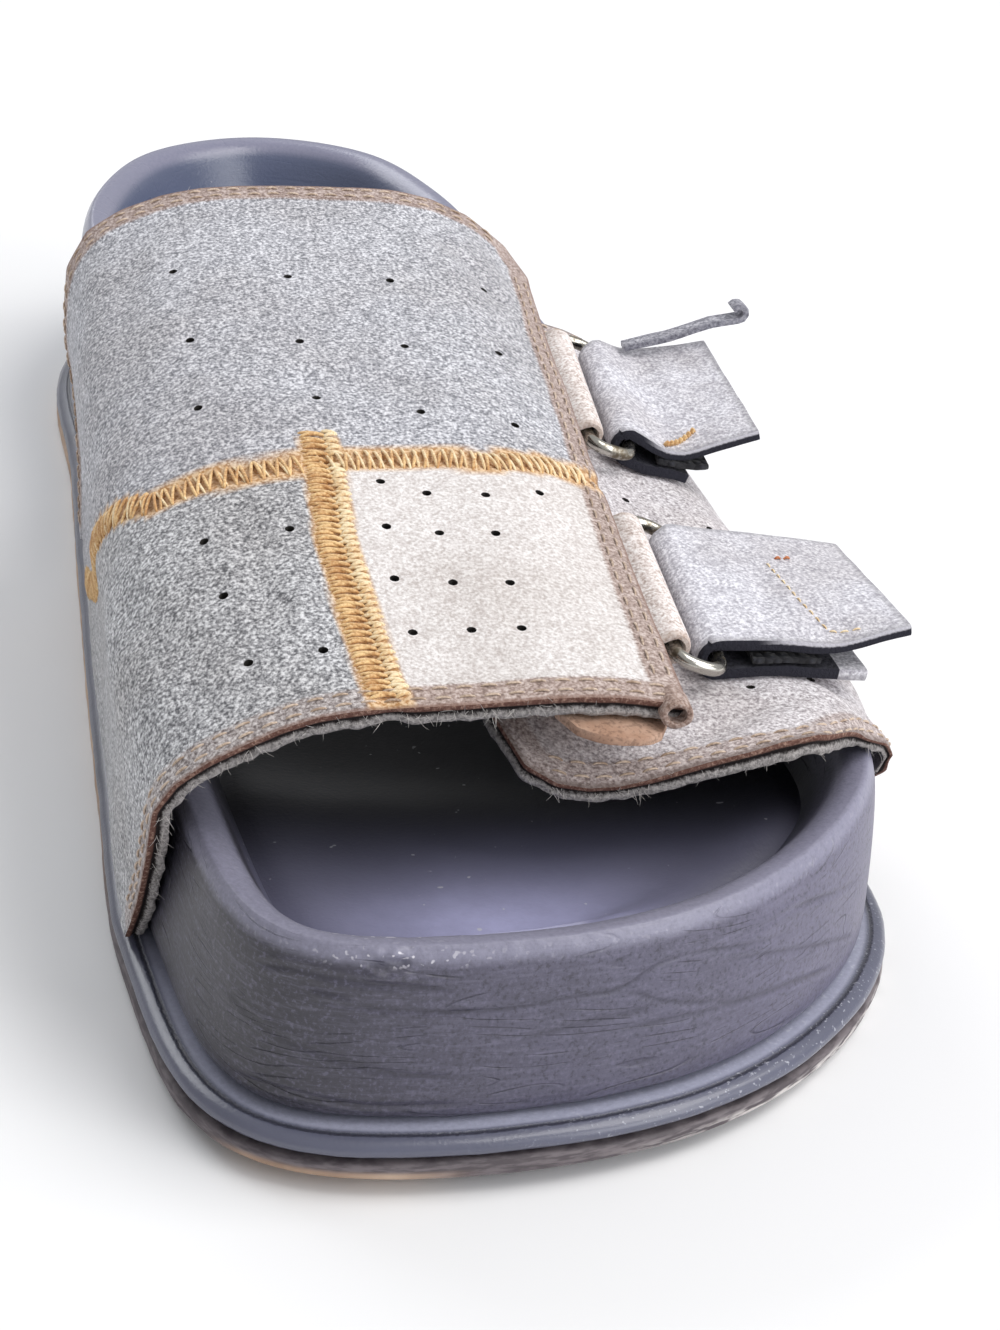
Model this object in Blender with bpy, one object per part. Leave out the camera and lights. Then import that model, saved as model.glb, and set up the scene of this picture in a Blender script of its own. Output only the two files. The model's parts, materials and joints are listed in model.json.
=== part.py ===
"""Left slide sandal with a two-panel wrap upper, two hook-and-loop straps and wire rings.

Frame: toe at -Y, heel at +Y, outer side of the foot at +X, floor at Z = 0.
Tables and driving sizes are in millimetres; meshes are written in metres.
"""
from collections import namedtuple
import math

import bmesh
import bpy
import numpy as np

MM = 0.001

# Driving sizes of the sole
OUTSOLE_T = 2.7
SEAT = 0.3
LEDGE_Z = 5.8
FLANGE = 3.4
TOE_SPRING = 2.0
SPRING_START_Y = -85.0
TOE_Y = -128.4
HEEL_Y = 135.5
RIM_TOE_Z = 30.4
RIM_HEEL_Z = 38.0
RIM_INSET = 2.7
HALF_COUNT = 36

# Driving sizes of the upper and its closures
PANEL_T = 2.0
HEM_STEP = 0.5
WALL_OFFSET = SEAT + PANEL_T / 2 + 0.1
STRAP_T = 1.5
STRAP_WIDTH = 29.0
KEEPER_T = 1.0
KEEPER_WIDTH = 30.0
WIRE_R = 1.0
RING_CORNER_R = 2.4
RING_HALF_LENGTH = 17.4
RING_PITCH_X = 6.2
RING_DROP_Z = 2.2
RING_OUT_X = 3.4
RING_UNDER_Z = 2.5
HOOK_T = 0.8
SEWN_X = 39.5
TAIL_T = 0.9
TAIL_WIDTH = 2.6
TAIL_INSET = 0.5

OutlinePoint = namedtuple("OutlinePoint", "x y")
OUTLINE = [
    OutlinePoint(-9.4, TOE_Y),
    OutlinePoint(-33.6, -124.1),
    OutlinePoint(-43.4, -86.8),
    OutlinePoint(-42.7, -47.0),
    OutlinePoint(-40.4, 5.4),
    OutlinePoint(-37.4, 58.2),
    OutlinePoint(-34.8, 103.0),
    OutlinePoint(-20.5, 127.6),
    OutlinePoint(1.0, HEEL_Y),
    OutlinePoint(21.5, 126.6),
    OutlinePoint(32.6, 101.2),
    OutlinePoint(36.6, 56.7),
    OutlinePoint(42.5, 4.8),
    OutlinePoint(46.5, -50.7),
    OutlinePoint(48.4, -93.0),
    OutlinePoint(20.5, -122.2),
]
HEEL_POINT = 8

DishFeature = namedtuple("DishFeature", "height y spread")
HEEL_CUP = DishFeature(-3.0, 88, 38)
ARCH = DishFeature(5.5, 22, 34)
BALL = DishFeature(-3.2, -62, 34)
TOE_RIDGE = DishFeature(1.4, -90, 7)
TOE_RIDGE_SLANT = 0.25
ARCH_OUTER_X = -2.0
ARCH_WIDTH = 30.0
DISH_Z = 25.5
FORE_FALL = 2.0
FORE_FALL_Y = -20.0
FORE_FALL_RUN = 90.0

# Profiles of the sole: how far out from a line, how far up, and how much of the toe spring
ProfilePoint = namedtuple("ProfilePoint", "out up follow")
WELT_BEAD = [
    ProfilePoint(-1.2, 0.0, 1.0),
    ProfilePoint(-0.2, 0.35, 1.0),
    ProfilePoint(0.1, 1.1, 1.0),
    ProfilePoint(-0.3, 1.9, 1.0),
]
WELT_LEDGE = [
    ProfilePoint(FLANGE - 1.3, -0.35, 1.0),
    ProfilePoint(0.4, -0.15, 1.0),
    ProfilePoint(-1.0, 0.0, 1.0),
]
FOOTBED_WALL = [
    ProfilePoint(-1.0, 0.0, 1.0),
    ProfilePoint(-0.2, 0.8, 1.0),
    ProfilePoint(0.0, 4.0, 0.7),
]
WAIST = ProfilePoint(-0.3, -2.5, 0.3)
FOOTBED_RIM = [
    ProfilePoint(-0.9, -5.0, 0.0),
    ProfilePoint(-1.6, -1.3, 0.0),
    ProfilePoint(-RIM_INSET, 0.0, 0.0),
    ProfilePoint(-RIM_INSET - 2.2, -0.2, 0.0),
    ProfilePoint(-RIM_INSET - 4.0, -1.6, 0.0),
    ProfilePoint(-RIM_INSET - 5.4, -4.2, 0.0),
]
SLOPE_INSET = 7.4
SLOPE_SAG = 1.8
DISH_INSET = 10.5
DISH_EDGE_RISE = 1.2

MainSection = namedtuple(
    "MainSection",
    "y bulge shoulder_z turn_x turn_z crown_x crown_z knee_x knee_z edge_x edge_z",
)
MAIN_SECTIONS = [
    MainSection(-102, 0.0, 33.0, -31.0, 43.6, -8.0, 45.8, 10.0, 45.6, 17.2, 44.2),
    MainSection(-40, 1.5, 44.5, -31.5, 54.2, -10.0, 56.0, 12.0, 53.8, 19.8, 49.0),
    MainSection(24, 2.6, 54.5, -31.0, 62.6, -12.0, 64.3, 14.0, 61.0, 25.2, 53.0),
]

SideSection = namedtuple("SideSection", "y outer_x outer_z middle_x middle_z inner_x inner_z edge_x edge_z")
SIDE_SECTIONS = [
    SideSection(-102, 36.0, 38.4, 24.0, 36.8, 8.0, 33.6, -6.0, 36.6),
    SideSection(-69, 40.0, 36.0, 28.0, 37.3, 18.0, 40.3, -1.0, 43.2),
    SideSection(-14, 37.0, 39.2, 30.0, 41.3, 22.0, 44.3, 6.0, 49.0),
    SideSection(24, 34.0, 42.3, 27.0, 45.2, 20.0, 48.0, 8.0, 52.0),
]

LeafPoint = namedtuple("LeafPoint", "x z twist")
Closure = namedtuple("Closure", "name y_mid base_x base_drop hook_x leaf")
CLOSURES = [
    Closure("rear", -14.0, SEWN_X, 0.0, 42.5, [
        LeafPoint(36.0, 46.0, 0.12),
        LeafPoint(43.0, 46.4, 0.10),
        LeafPoint(49.5, 47.6, 0.07),
    ]),
    Closure("front", -69.0, 47.5, 0.8, 41.0, [
        LeafPoint(34.0, 43.6, 0.05),
        LeafPoint(43.0, 43.0, 0.0),
        LeafPoint(52.5, 42.8, -0.10),
    ]),
]

Finish = namedtuple("Finish", "colour roughness metallic")
FINISHES = {
    "gum_rubber": Finish((0.48, 0.31, 0.19), 0.6, 0.0),
    "welt_rubber": Finish((0.06, 0.07, 0.11), 0.35, 0.0),
    "footbed_foam": Finish((0.08, 0.075, 0.10), 0.45, 0.0),
    "grey_suede": Finish((0.37, 0.38, 0.40), 0.85, 0.0),
    "tan_leather": Finish((0.61, 0.46, 0.35), 0.75, 0.0),
    "hook_tape": Finish((0.012, 0.015, 0.03), 0.9, 0.0),
    "aged_brass": Finish((0.42, 0.36, 0.24), 0.35, 1.0),
}


def clear_scene():
    for old in list(bpy.data.objects):
        bpy.data.objects.remove(old)


def make_material(name):
    finish = FINISHES[name]
    material = bpy.data.materials.get(name) or bpy.data.materials.new(name)
    material.use_nodes = True
    shader = material.node_tree.nodes["Principled BSDF"]
    shader.inputs["Base Color"].default_value = (*finish.colour, 1.0)
    shader.inputs["Roughness"].default_value = finish.roughness
    shader.inputs["Metallic"].default_value = finish.metallic
    return material


def make_object(name, points, faces, finish, sharp_deg=40.0):
    """One closed body from points in millimetres, with its faces turned outwards."""
    mesh = bpy.data.meshes.new(name)
    build = bmesh.new()
    corners = [build.verts.new(np.asarray(point, float) * MM) for point in points]
    for face in faces:
        build.faces.new([corners[index] for index in face])
    bmesh.ops.triangulate(build, faces=build.faces[:])
    bmesh.ops.recalc_face_normals(build, faces=build.faces[:])
    build.to_mesh(mesh)
    build.free()
    mesh.materials.append(make_material(finish))
    mesh.shade_smooth()
    mesh.set_sharp_from_angle(angle=math.radians(sharp_deg))
    made = bpy.data.objects.new(name, mesh)
    bpy.context.scene.collection.objects.link(made)
    return made


# Curves
def smooth_line(points, closed=False, steps=14):
    """A smooth curve through points, by cubic pieces with parabolic tangents."""
    p = np.asarray(points, float)
    if closed:
        p = np.vstack([p[-1], p, p[0], p[1]])
    else:
        p = np.vstack([2 * p[0] - p[1], p, 2 * p[-1] - p[-2]])
    span = np.linalg.norm(np.diff(p, axis=0), axis=1)[:, None]
    slope = np.diff(p, axis=0) / span
    tangent = (slope[1:] * span[:-1] + slope[:-1] * span[1:]) / (span[1:] + span[:-1])
    t = np.linspace(0, 1, steps, endpoint=False)[:, None]
    pieces = []
    for k in range(len(tangent) - 1):
        a, b = p[k + 1], p[k + 2]
        reach = span[k + 1]
        pieces.append(
            a * (2 * t**3 - 3 * t**2 + 1) + b * (3 * t**2 - 2 * t**3)
            + reach * (tangent[k] * (t**3 - 2 * t**2 + t) + tangent[k + 1] * (t**3 - t**2))
        )
    pieces.append(p[-2:-1])
    return np.vstack(pieces)


def along(line, fractions):
    """Points of a polyline at the given fractions of its length."""
    length = np.concatenate([[0], np.cumsum(np.linalg.norm(np.diff(line, axis=0), axis=1))])
    wanted = np.asarray(fractions) * length[-1]
    return np.column_stack([np.interp(wanted, length, column) for column in line.T])


def row_value(rows, column, y):
    """A table's column at any y, by the polynomial through its rows."""
    ys = np.array([row.y for row in rows], float)
    values = np.array([getattr(row, column) for row in rows], float)
    weights = [
        np.prod([(y - ys[j]) / (ys[i] - ys[j]) for j in range(len(ys)) if j != i])
        for i in range(len(ys))
    ]
    return float(np.dot(weights, values))


def ease(t):
    t = np.clip(t, 0, 1)
    return t * t * (3 - 2 * t)


# Sole outline
def sole_outline():
    """Wall line of the footbed from the toe round the inner side, and its outward normals."""
    line = smooth_line(OUTLINE, closed=True)
    heel = int(np.argmin(np.linalg.norm(line - np.array(OUTLINE[HEEL_POINT]), axis=1)))
    fractions = np.linspace(0, 1, HALF_COUNT, endpoint=False)
    points = np.vstack([along(line[:heel + 1], fractions), along(line[heel:], fractions)])
    tangent = np.roll(points, -1, axis=0) - np.roll(points, 1, axis=0)
    tangent /= np.linalg.norm(tangent, axis=1)[:, None]
    return points, np.column_stack([-tangent[:, 1], tangent[:, 0]])


WALL, WALL_NORMAL = sole_outline()


def spring(y):
    return TOE_SPRING * np.clip((SPRING_START_Y - y) / (SPRING_START_Y - TOE_Y), 0, None) ** 1.5


def rim_height(y):
    return RIM_TOE_Z + (RIM_HEEL_Z - RIM_TOE_Z) * ease((y - TOE_Y) / (HEEL_Y - TOE_Y))


def wall_x(side, y, offset):
    """X of the wall line, pushed out by offset, on the inner (-1) or outer (+1) side."""
    pushed = WALL + WALL_NORMAL * offset
    half = pushed[2:HALF_COUNT - 1] if side < 0 else pushed[HALF_COUNT + 2:-1]
    order = np.argsort(half[:, 1])
    return float(np.interp(y, half[order, 1], half[order, 0]))


def ring(offset, height, follow_spring=1.0):
    flat = WALL + WALL_NORMAL * offset
    z = np.broadcast_to(height, len(flat)) + spring(flat[:, 1]) * follow_spring
    return np.column_stack([flat, z])


def hump(feature, y):
    return feature.height * math.exp(-((y - feature.y) / feature.spread) ** 2)


def footbed_floor(x, y):
    """Height of the foot's dish: heel cup, inner arch, ball and a low toe ridge."""
    arch = hump(ARCH, y) * ease((ARCH_OUTER_X - x) / ARCH_WIDTH)
    toe_ridge = hump(TOE_RIDGE, y + TOE_RIDGE_SLANT * x)
    fall = FORE_FALL * ease((FORE_FALL_Y - y) / FORE_FALL_RUN)
    return DISH_Z + hump(HEEL_CUP, y) + hump(BALL, y) + arch + toe_ridge - fall


def lofted(name, rings, finish, across=1, floor=None):
    """A solid from stacked rings, closed below by flat strips and above by strips or a dish."""
    count = len(rings[0])
    points = [point for loop in rings for point in loop]
    faces = []
    for level in range(len(rings) - 1):
        low, high = level * count, (level + 1) * count
        for i in range(count):
            j = (i + 1) % count
            faces.append((low + i, high + i, high + j, low + j))
    half = count // 2
    top = (len(rings) - 1) * count
    for i in range(half):
        ends = {i, i + 1, count - i - 1, (count - i) % count}
        faces.append(sorted(ends, key=lambda k: (i, i + 1, count - i - 1, (count - i) % count).index(k)))
    rows = []
    for i in range(half + 1):
        a, b = top + i, top + (count - i) % count
        row = [a]
        if a != b:
            for step in range(1, across):
                spot = points[a] + (points[b] - points[a]) * step / across
                if floor:
                    spot = np.array([spot[0], spot[1], floor(spot[0], spot[1])])
                row.append(len(points))
                points.append(spot)
            row.append(b)
        rows.append(row)
    for near, far in zip(rows, rows[1:]):
        if len(near) == 1:
            faces += [(near[0], far[k], far[k + 1]) for k in range(len(far) - 1)]
        elif len(far) == 1:
            faces += [(near[k], far[0], near[k + 1]) for k in range(len(near) - 1)]
        else:
            faces += [(near[k], far[k], far[k + 1], near[k + 1]) for k in range(len(far) - 1)]
    return make_object(name, points, faces, finish)


def build_outsole():
    edge_round = 0.6
    rings = [
        ring(FLANGE - edge_round, 0.0),
        ring(FLANGE, edge_round),
        ring(FLANGE, OUTSOLE_T - edge_round),
        ring(FLANGE - edge_round, OUTSOLE_T),
    ]
    return lofted("outsole", rings, "gum_rubber")


def build_welt():
    """A rounded bead round the outsole, with a nearly flat ledge in to the footbed's wall."""
    low = OUTSOLE_T + SEAT
    rings = [ring(FLANGE + point.out, low + point.up, point.follow) for point in WELT_BEAD]
    rings += [ring(point.out, LEDGE_Z + point.up, point.follow) for point in WELT_LEDGE]
    return lofted("welt", rings, "welt_rubber")


def inside_rim(inset):
    """The outline drawn in from the rim's crest, and the dish's height under it."""
    inner = WALL - WALL_NORMAL * (RIM_INSET + inset)
    return inner, np.array([footbed_floor(x, y) for x, y in inner])


def build_footbed():
    """The footbed's wall, its rounded rim, the slope down inside it and the foot's dish."""
    low = LEDGE_Z + SEAT
    crest = rim_height(WALL[:, 1])
    rings = [ring(point.out, low + point.up, point.follow) for point in FOOTBED_WALL]
    rings.append(ring(WAIST.out, (low + crest) / 2 + WAIST.up, WAIST.follow))
    rings += [ring(point.out, crest + point.up, point.follow) for point in FOOTBED_RIM]
    inner, dish = inside_rim(SLOPE_INSET)
    slope_top = crest + FOOTBED_RIM[-1].up
    rings.append(np.column_stack([inner, (dish + slope_top) / 2 - SLOPE_SAG]))
    inner, dish = inside_rim(DISH_INSET)
    rings.append(np.column_stack([inner, dish + DISH_EDGE_RISE]))
    return lofted("footbed", rings, "footbed_foam", across=8, floor=footbed_floor)


# Upper panels
def main_section(y):
    """Cross-section of the main panel's middle surface at y, from the welt over the foot."""
    value = {name: row_value(MAIN_SECTIONS, name, y) for name in MainSection._fields[1:]}
    foot_x = wall_x(-1, y, WALL_OFFSET)
    foot_z = LEDGE_Z + SEAT + 0.1 + float(spring(y))
    rim = float(rim_height(y))
    return smooth_line([
        (foot_x, foot_z),
        (foot_x, (foot_z + rim) / 2),
        (foot_x - 0.3 * value["bulge"], rim - 2),
        (foot_x - value["bulge"], (rim + value["shoulder_z"]) / 2 + 1),
        (foot_x + 0.8 - 0.6 * value["bulge"], value["shoulder_z"] + 2),
        (value["turn_x"], value["turn_z"]),
        (value["crown_x"], value["crown_z"]),
        (value["knee_x"], value["knee_z"]),
        (value["edge_x"], value["edge_z"]),
    ])


def side_section(y):
    """Cross-section of the side panel's middle surface at y, from the welt to its inner edge."""
    value = {name: row_value(SIDE_SECTIONS, name, y) for name in SideSection._fields[1:]}
    foot_z = LEDGE_Z + SEAT + 0.1 + float(spring(y))
    rim = float(rim_height(y))
    return smooth_line([
        (wall_x(1, y, WALL_OFFSET), foot_z),
        (wall_x(1, y, WALL_OFFSET), (foot_z + rim) / 2),
        (wall_x(1, y, WALL_OFFSET - 0.2), rim - 3.2),
        (wall_x(1, y, 0.3), rim - 0.4),
        (wall_x(1, y, -1.6), rim + 1.4),
        (value["outer_x"], value["outer_z"]),
        (value["middle_x"], value["middle_z"]),
        (value["inner_x"], value["inner_z"]),
        (value["edge_x"], value["edge_z"]),
    ])


def corner_cut(u, start, depth):
    """How far an edge draws back towards a rounded corner at u = 1."""
    t = max(0.0, (u - start) / (1 - start))
    return depth * (1 - math.sqrt(max(0.0, 1 - t * t)))


def main_front_y(u):
    return -85.0 - 17.0 * (1 - (1 - min(u / 0.45, 1)) ** 2)


def main_rear_y(u):
    return 24.0 + 6.0 * (1 - min(u / 0.4, 1)) ** 2 - corner_cut(u, 0.93, 8.0)


def side_front_y(u):
    up_the_wall = -62.0 - 30.0 * min(u / 0.3, 1)
    over_the_foot = -10.0 * ease((u - 0.22) / 0.3)
    return up_the_wall + over_the_foot + corner_cut(u, 0.87, 11.0)


def side_rear_y(u):
    return 17.0 + 5.0 * (1 - min(u / 0.4, 1)) ** 2


def grid_lines(count, band, low_end, high_end):
    """Even fractions from 0 to 1, with a close pair of lines where a hem's step falls."""
    lines = list(np.linspace(0, 1, count))
    edges = ([band] if low_end else []) + ([1 - band] if high_end else [])
    for edge in edges:
        lines = [line for line in lines if line in (0, 1) or abs(line - edge) > 0.02]
        inward = 0.004 if edge < 0.5 else -0.004
        lines += [edge, edge + inward]
    return sorted(lines)


def panel(name, section, front_y, rear_y, across, lengthwise, hem, finish):
    """A bent sheet of leather between its front and rear edges, thicker along its hems."""
    u_hem, v_hem = hem
    us = grid_lines(across, u_hem, False, u_hem > 0)
    vs = grid_lines(lengthwise, v_hem, True, True)
    middle = np.zeros((len(us), len(vs), 3))
    raised = np.zeros((len(us), len(vs)))
    for i, u in enumerate(us):
        for j, v in enumerate(vs):
            y = front_y(u) + (rear_y(u) - front_y(u)) * v
            x, z = along(section(y), [u])[0]
            middle[i, j] = (x, y, z)
            on_hem = v <= v_hem or v >= 1 - v_hem or (u_hem > 0 and u >= 1 - u_hem)
            raised[i, j] = HEM_STEP if on_hem else 0.0
    du = np.gradient(middle, axis=0)
    dv = np.gradient(middle, axis=1)
    normal = np.cross(du, dv)
    normal /= np.linalg.norm(normal, axis=2)[:, :, None]
    if normal[len(us) * 2 // 3, len(vs) // 2, 2] < 0:
        normal = -normal
    outer = middle + normal * (PANEL_T / 2 + raised)[:, :, None]
    inner = middle - normal * PANEL_T / 2
    return sheet_solid(name, outer, inner, finish)


def sheet_solid(name, outer, inner, finish):
    """Close two matching grids of points into one solid."""
    rows, columns = outer.shape[:2]
    points = np.vstack([outer.reshape(-1, 3), inner.reshape(-1, 3)])
    shift = rows * columns
    faces = []

    def at(i, j):
        return i * columns + j

    for i in range(rows - 1):
        for j in range(columns - 1):
            quad = (at(i, j), at(i + 1, j), at(i + 1, j + 1), at(i, j + 1))
            faces.append(quad)
            faces.append(tuple(shift + k for k in reversed(quad)))
    border = [at(i, 0) for i in range(rows)] + [at(rows - 1, j) for j in range(1, columns)]
    border += [at(i, columns - 1) for i in range(rows - 2, -1, -1)]
    border += [at(0, j) for j in range(columns - 2, 0, -1)]
    for a, b in zip(border, border[1:] + border[:1]):
        faces.append((a, shift + a, shift + b, b))
    return make_object(name, points, faces, finish)


def build_panels():
    panel("upper_main_panel", main_section, main_front_y, main_rear_y, 22, 13, (0.03, 0.033), "grey_suede")
    panel("upper_side_panel", side_section, side_front_y, side_rear_y, 20, 12, (0.0, 0.033), "grey_suede")


# Straps, rings and their keepers
def strip_solid(name, ys, paths, thickness, finish):
    """A flat strip bent along a path in x and z, one path for each y across its width."""
    outer, inner = [], []
    for y, path in zip(ys, paths):
        run = np.gradient(path, axis=0)
        run /= np.linalg.norm(run, axis=1)[:, None]
        side = np.column_stack([-run[:, 1], run[:, 0]]) * thickness / 2
        outer.append([(x, y, z) for x, z in path + side])
        inner.append([(x, y, z) for x, z in path - side])
    return sheet_solid(name, np.array(outer), np.array(inner), finish)


def side_top(x, y):
    """Height of the side panel's middle surface at x, y."""
    line = side_section(y)
    top = line[len(line) // 2:]
    order = np.argsort(top[:, 0])
    return float(np.interp(x, top[order, 0], top[order, 1]))


def over_side(x, y, distance):
    """Height of a point that lies distance off the side panel's middle surface."""
    step = 0.5
    slope = (side_top(x + step, y) - side_top(x - step, y)) / (2 * step)
    return side_top(x, y) + distance * math.hypot(1, slope)


def main_under(x, y):
    """Height of the main panel's middle surface near its outer edge at x, y."""
    line = main_section(y)
    top = line[len(line) // 2:]
    return float(np.interp(x, top[:, 0], top[:, 1]))


def ring_axis(closure, y):
    """Centre of the ring's inner bar at y: a straight line under the main panel's edge."""
    ends = [closure.y_mid - STRAP_WIDTH / 2, closure.y_mid + STRAP_WIDTH / 2]
    xs = [row_value(MAIN_SECTIONS, "edge_x", end) + RING_OUT_X for end in ends]
    zs = [row_value(MAIN_SECTIONS, "edge_z", end) - RING_UNDER_Z for end in ends]
    t = (y - ends[0]) / (ends[1] - ends[0])
    return np.array([xs[0] + (xs[1] - xs[0]) * t, zs[0] + (zs[1] - zs[0]) * t])


def arc(centre, radius, start_deg, end_deg, count):
    angles = np.radians(np.linspace(start_deg, end_deg, count))
    return np.column_stack([centre[0] + radius * np.cos(angles), centre[1] + radius * np.sin(angles)])


def build_ring(closure):
    """A round-cornered wire loop with one bar in the keeper and one in the strap's fold."""
    half_x = RING_PITCH_X / 2
    straight = RING_HALF_LENGTH - RING_CORNER_R
    path = []
    for cx, cy, start in ((1, 1, 0), (-1, 1, 90), (-1, -1, 180), (1, -1, 270)):
        centre = (cx * (half_x - RING_CORNER_R), cy * straight)
        path += list(arc(centre, RING_CORNER_R, start, start + 90, 5))
    middle = ring_axis(closure, closure.y_mid) + np.array([half_x, -RING_DROP_Z / 2])
    lean = ring_axis(closure, closure.y_mid + 1) - ring_axis(closure, closure.y_mid)
    tilt = RING_DROP_Z / RING_PITCH_X
    centres = np.array([
        (middle[0] + a + lean[0] * b, closure.y_mid + b, middle[1] + lean[1] * b - a * tilt)
        for a, b in path
    ])
    run = np.roll(centres, -1, axis=0) - np.roll(centres, 1, axis=0)
    run /= np.linalg.norm(run, axis=1)[:, None]
    flat_normal = np.cross(centres[5] - centres[0], centres[10] - centres[0])
    flat_normal /= np.linalg.norm(flat_normal)
    sides = 8
    points = []
    for centre, direction in zip(centres, run):
        out = np.cross(direction, flat_normal)
        for k in range(sides):
            turn = 2 * math.pi * k / sides
            points.append(centre + WIRE_R * (math.cos(turn) * out + math.sin(turn) * flat_normal))
    faces = []
    for i in range(len(centres)):
        here, ahead = i * sides, (i + 1) % len(centres) * sides
        for k in range(sides):
            beside = (k + 1) % sides
            faces.append((here + k, ahead + k, ahead + beside, here + beside))
    make_object(f"ring_{closure.name}", points, faces, "aged_brass", sharp_deg=80.0)


def build_keeper(closure):
    """A leather tab from under the main panel's edge, folded round the ring's inner bar."""
    reach = 6.0
    under = PANEL_T * 0.62 + SEAT + 0.1 + KEEPER_T / 2
    fold_r = WIRE_R + SEAT + KEEPER_T / 2
    leaf_gap = KEEPER_T + 0.25
    ys = np.linspace(closure.y_mid - KEEPER_WIDTH / 2, closure.y_mid + KEEPER_WIDTH / 2, 6)
    paths = []
    for y in ys:
        bar = ring_axis(closure, y)
        edge_x = bar[0] - RING_OUT_X
        edge_z = bar[1] + RING_UNDER_Z
        upper = [
            (edge_x - reach, main_under(edge_x - reach, y) - under),
            (edge_x - reach / 2, main_under(edge_x - reach / 2, y) - under),
            (edge_x - 0.3, edge_z - under),
        ]
        lower = [(x, z - leaf_gap) for x, z in reversed(upper)]
        fold = arc(bar, fold_r, 100, -100, 9)
        paths.append(np.vstack([upper, fold, lower]))
    strip_solid(f"ring_keeper_{closure.name}", ys, paths, KEEPER_T, "tan_leather")


def build_strap(closure):
    """A strap lying on the side panel, folded round the ring's outer bar and back to its free end."""
    rest = PANEL_T / 2 + SEAT + STRAP_T / 2 + 0.15
    fold_r = WIRE_R + SEAT + STRAP_T / 2
    ys = np.linspace(closure.y_mid - STRAP_WIDTH / 2, closure.y_mid + STRAP_WIDTH / 2, 9)
    paths = []
    hook_paths = []
    for y in ys:
        bar = ring_axis(closure, y) + np.array([RING_PITCH_X, -RING_DROP_Z])
        lie_x = np.linspace(SEWN_X, bar[0] + 2.6, 4)
        lie = [(x, over_side(x, y, rest)) for x in lie_x]
        if closure.base_x > SEWN_X:
            lie.insert(0, (closure.base_x, lie[0][1] - closure.base_drop))
        across = y - closure.y_mid
        leaf = [(point.x, point.z + point.twist * across) for point in closure.leaf]
        fold = arc(bar, fold_r, -105, -275, 10)
        free = smooth_line([tuple(fold[-1])] + leaf, steps=3)[1:]
        paths.append(np.vstack([lie, fold, free]))
        hook_x = np.linspace(closure.hook_x, bar[0] + 4.5, 5)
        raise_z = rest + STRAP_T / 2 + SEAT + HOOK_T / 2 + 0.1
        hook_paths.append(np.array([(x, over_side(min(x, SEWN_X), y, raise_z)) for x in hook_x]))
    strip_solid(f"strap_{closure.name}", ys, paths, STRAP_T, "grey_suede")
    strip_solid(f"hook_patch_{closure.name}", ys[:-1], hook_paths[:-1], HOOK_T, "hook_tape")


def build_rear_tail():
    """A narrow pull ribbon on the rear strap's back edge, rolled at its end."""
    closure = CLOSURES[0]
    back = STRAP_WIDTH / 2
    lift = STRAP_T / 2 + SEAT + TAIL_T / 2 + 0.1
    leaf = closure.leaf
    roots = [(point.x, point.z + point.twist * back + lift) for point in leaf]
    roots[1] = (roots[1][0], roots[1][1] + 1.4)
    end = np.array([roots[2][0] + 4.0, roots[2][1] + 3.4])
    roll = arc(end + np.array([0.0, 1.1]), 1.1, -90, 150, 7)
    line = np.vstack([roots[0], roots[1], (roots[2][0], roots[2][1] + 2.8), roll])
    rear_y = closure.y_mid + back - TAIL_INSET
    ys = np.linspace(rear_y - TAIL_WIDTH, rear_y, 3)
    strip_solid("strap_rear_tail", ys, [line] * len(ys), TAIL_T, "grey_suede")


def build_front_tab():
    """The rounded end of a leather facing, just below the main panel's front outer corner."""
    under = PANEL_T * 0.55 + SEAT + 0.6
    half_width = 7.0
    middle_x = 9.0
    front_y, rear_y = -105.5, -86.0
    thickness = 1.2
    outer, inner = [], []
    for across in np.linspace(-1, 1, 9):
        x = middle_x + half_width * across
        row_front = front_y + half_width * (1 - math.sqrt(max(0.0, 1 - 0.98 * across * across)))
        upper_row, lower_row = [], []
        for y in np.linspace(row_front, rear_y, 5):
            z = main_under(x, max(y, MAIN_SECTIONS[0].y)) - under
            upper_row.append((x, y, z))
            lower_row.append((x, y, z - thickness))
        outer.append(upper_row)
        inner.append(lower_row)
    sheet_solid("front_tab", np.array(outer), np.array(inner), "tan_leather")


clear_scene()
build_outsole()
build_welt()
build_footbed()
build_panels()
for strap_closure in CLOSURES:
    build_ring(strap_closure)
    build_keeper(strap_closure)
    build_strap(strap_closure)
build_rear_tail()
build_front_tab()
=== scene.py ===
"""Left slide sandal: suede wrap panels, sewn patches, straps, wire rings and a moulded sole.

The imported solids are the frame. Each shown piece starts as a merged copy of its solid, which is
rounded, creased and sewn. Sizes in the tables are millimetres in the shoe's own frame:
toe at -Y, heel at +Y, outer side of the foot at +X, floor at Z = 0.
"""
from collections import namedtuple
import json
import math
import random

import bpy
import numpy as np
from mathutils import Matrix, Vector, noise as lumps
from mathutils.bvhtree import BVHTree
from mathutils.kdtree import KDTree

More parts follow.
